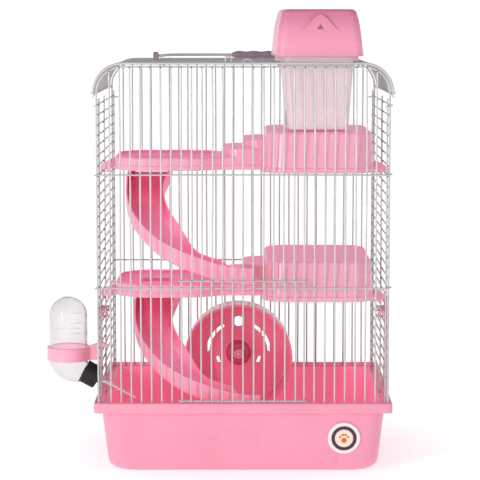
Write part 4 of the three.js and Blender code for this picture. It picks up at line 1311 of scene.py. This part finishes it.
def holder():
    """A band round the bottle, pinched to an arm whose slanting finger hooks over a rung."""
    hook = corners("bottle_holder")[0].z + 0.2
    centre = bottle_axis()[0]
    bottom, top = centre.z + 3.5, centre.z + 19.5
    edge = [(BAND_INNER, 0.6), (23.7, 0), (25, 0), (BAND_OUTER, 0.6), (25.3, 3)]
    band = [(r, bottom + z) for r, z in edge] + [(r, top - z) for r, z in edge[::-1]]
    bm = bmesh.new()
    lathe(bm, band, 72, Matrix.Translation((centre.x, centre.y, 0)), ring=True)
    rung = joint_place("latch_left_swing").x - centre.x
    rung_z = corners("left_side_panel")[0].z + RUNG_FIRST + HOLDER_RUNG * RUNG_PITCH
    face, tip = rung - 2.7, rung + 5.7
    over_face, over_tip = (rung_z + 2.4 - math.tan(NECK_TILT) * (x - rung) for x in (face, tip))
    arm = [(23.8, hook), (face, hook), (face, over_face), (tip, over_tip), (tip, over_tip + 3.2),
           (face, over_face + 3.2), (23.8, top - 0.2)]
    arm = rounded([(centre.x + x, z) for x, z in arm], 1.4)
    prism(bm, arm, centre.y - 6, centre.y + 6)
    # The band's inner faces take a pale pink with a strong painted glow: painted light on faces that the
    # glass bottle leaves in shade.
    tint(bm, 1, lambda spot, normal: abs(normal.z) < 0.5 and (
        (spot - centre).xy.dot(normal.xy) < 0 and (spot - centre).xy.length < 24))
    looks = [pink, moulded("bracket_inner_face_painted_light", srgb(246, 192, 208), 0.4, lit=0.95)]
    make("bottle_bracket", bm, looks, "drip_bottle", "bottle_holder", bevel=0.5)


# ---------------------------------------------------------------- side latches
def latch(side_name, side):
    """A springy plate hooked under the tub's rim and hung on a rung by two eyes."""
    node = f"{side_name}_latch"
    low, high = corners(node)
    pivot = joint_place(f"latch_{side_name}_swing")
    inner, outer, lip = 173, 176, 169.8
    plate = [(inner, high.z), (inner, low.z + 2.9), (lip, low.z + 2.9), (lip, low.z), (outer - 0.6, low.z),
             (outer, low.z + 14), (outer - 0.5, low.z + 50), (outer - 0.2, high.z)]
    bm = bmesh.new()
    prism(bm, rounded([(side * x, z) for x, z in plate], 1.1), low.y, high.y)
    collar = [(1.9, -0.2), (3.3, -0.2), (3.8, 0.4), (3.8, 6.8), (3.3, 7.2), (1.9, 7.2)]
    arm = [(side * x, pivot.z + z) for x, z in ((169, -3), (174, -4.4), (174, 4.4), (169, 3))]
    for y in (low.y, high.y - 7):
        lathe(bm, collar, 32, facing_back((pivot.x, y, pivot.z)), ring=True)
        prism(bm, arm, y + 0.3, y + 6.7)
    ridge = [(174.6, -1.6), (175.9, -0.5), (175.9, 0.5), (174.6, 1.6)]
    for z in (low.z + 20, low.z + 30, low.z + 40):
        prism(bm, [(side * x, z + dz) for x, dz in ridge], low.y + 8, high.y - 8)
    make(f"{side_name}_catch", bm, [pink], f"latch_{side_name}", node, bevel=0.4)


# ---------------------------------------------------------------- stage, light and camera
def backdrop():
    """A pale floor that runs out to the horizon."""
    bm = bmesh.new()
    rows = [[bm.verts.new((x, y, 0)) for y in (-40, -4, 4, 900)] for x in (-300, -4, 4, 300)]
    for near, far in zip(rows, rows[1:]):
        for i in range(len(near) - 1):
            bm.faces.new((near[i], far[i], far[i + 1], near[i + 1]))
    mesh = mesh_of(bm, "floor")
    mesh.materials.append(floor_paper())
    put("floor", mesh)


def area_light(name, place, aim, size, power):
    data = bpy.data.lights.new(name, "AREA")
    data.shape = "RECTANGLE"
    data.size, data.size_y = size
    data.energy = power
    light = put(name, data)
    light.location = place
    light.rotation_euler = (Vector(aim) - Vector(place)).to_track_quat("-Z", "Y").to_euler()


def sky_strength(sky):
    """Bright at the horizon in front and behind, darker overhead and to the sides."""
    direction = sky.node("ShaderNodeTexCoord").outputs["Generated"]
    overhead = sky.spread(sky.axis(direction, "Z"), 1.11, 0.34, 0.03, 0.85)
    sideways = sky.maths("ABSOLUTE", sky.axis(direction, "X"))
    return sky.maths("MULTIPLY", overhead, sky.spread(sideways, 1.0, 0.82, 0.3, 0.95))


def studio():
    world = bpy.data.worlds.new("studio")
    world.use_nodes = True
    bpy.context.scene.world = world
    sky = Tree(world.node_tree)
    light = sky.find("BACKGROUND").inputs
    light["Color"].default_value = (1, 1, 1, 1)
    sky.link(sky_strength(sky), light["Strength"])
    aim = (0, 0, 0.25)
    area_light("strip", (-1.7, -2.1, 0.6), aim, (0.15, 0.9), 24)
    area_light("fill", (1.2, -2.6, 0.9), aim, (1.2, 1.2), 3.5)
    bpy.context.scene.view_settings.view_transform = "Standard"


def camera():
    """The viewpoint: a long lens, level with the top of the cage, tipped a little down."""
    data = bpy.data.cameras.new("camera")
    data.sensor_width = 36
    data.lens = 144.75
    data.shift_x = -0.0065
    data.clip_end = 2000
    eye = put("camera", data)
    eye.location = (0, -2.3225, 0.5212)
    eye.rotation_euler = (math.radians(90 - 6.474), 0, 0)
    bpy.context.scene.camera = eye


tub()
medallion()
end_panel("front_panel", -1, True)
end_panel("back_panel", 1, False)
side_panel("left_side_panel", -1)
side_panel("right_side_panel", 1)
roof()
door()
for storey_name in ("lower", "upper"):
    storey(storey_name)
    slide(storey_name)
    clip(storey_name, "left", -1)
    clip(storey_name, "right", 1)
wheel()
wheel_axle(wheel_line())
wheel_boss(wheel_line())
wheel_knob(wheel_line())
hopper()
lid()
hinge = joint_place("handle_fold")
bail(hinge)
grip(hinge)
eyelet("left", hinge)
eyelet("right", hinge)
bottle()
bottle_cap(neck_place())
spout(neck_place())
holder()
latch("left", -1)
latch("right", 1)
backdrop()
studio()
camera()
bpy.context.view_layer.update()
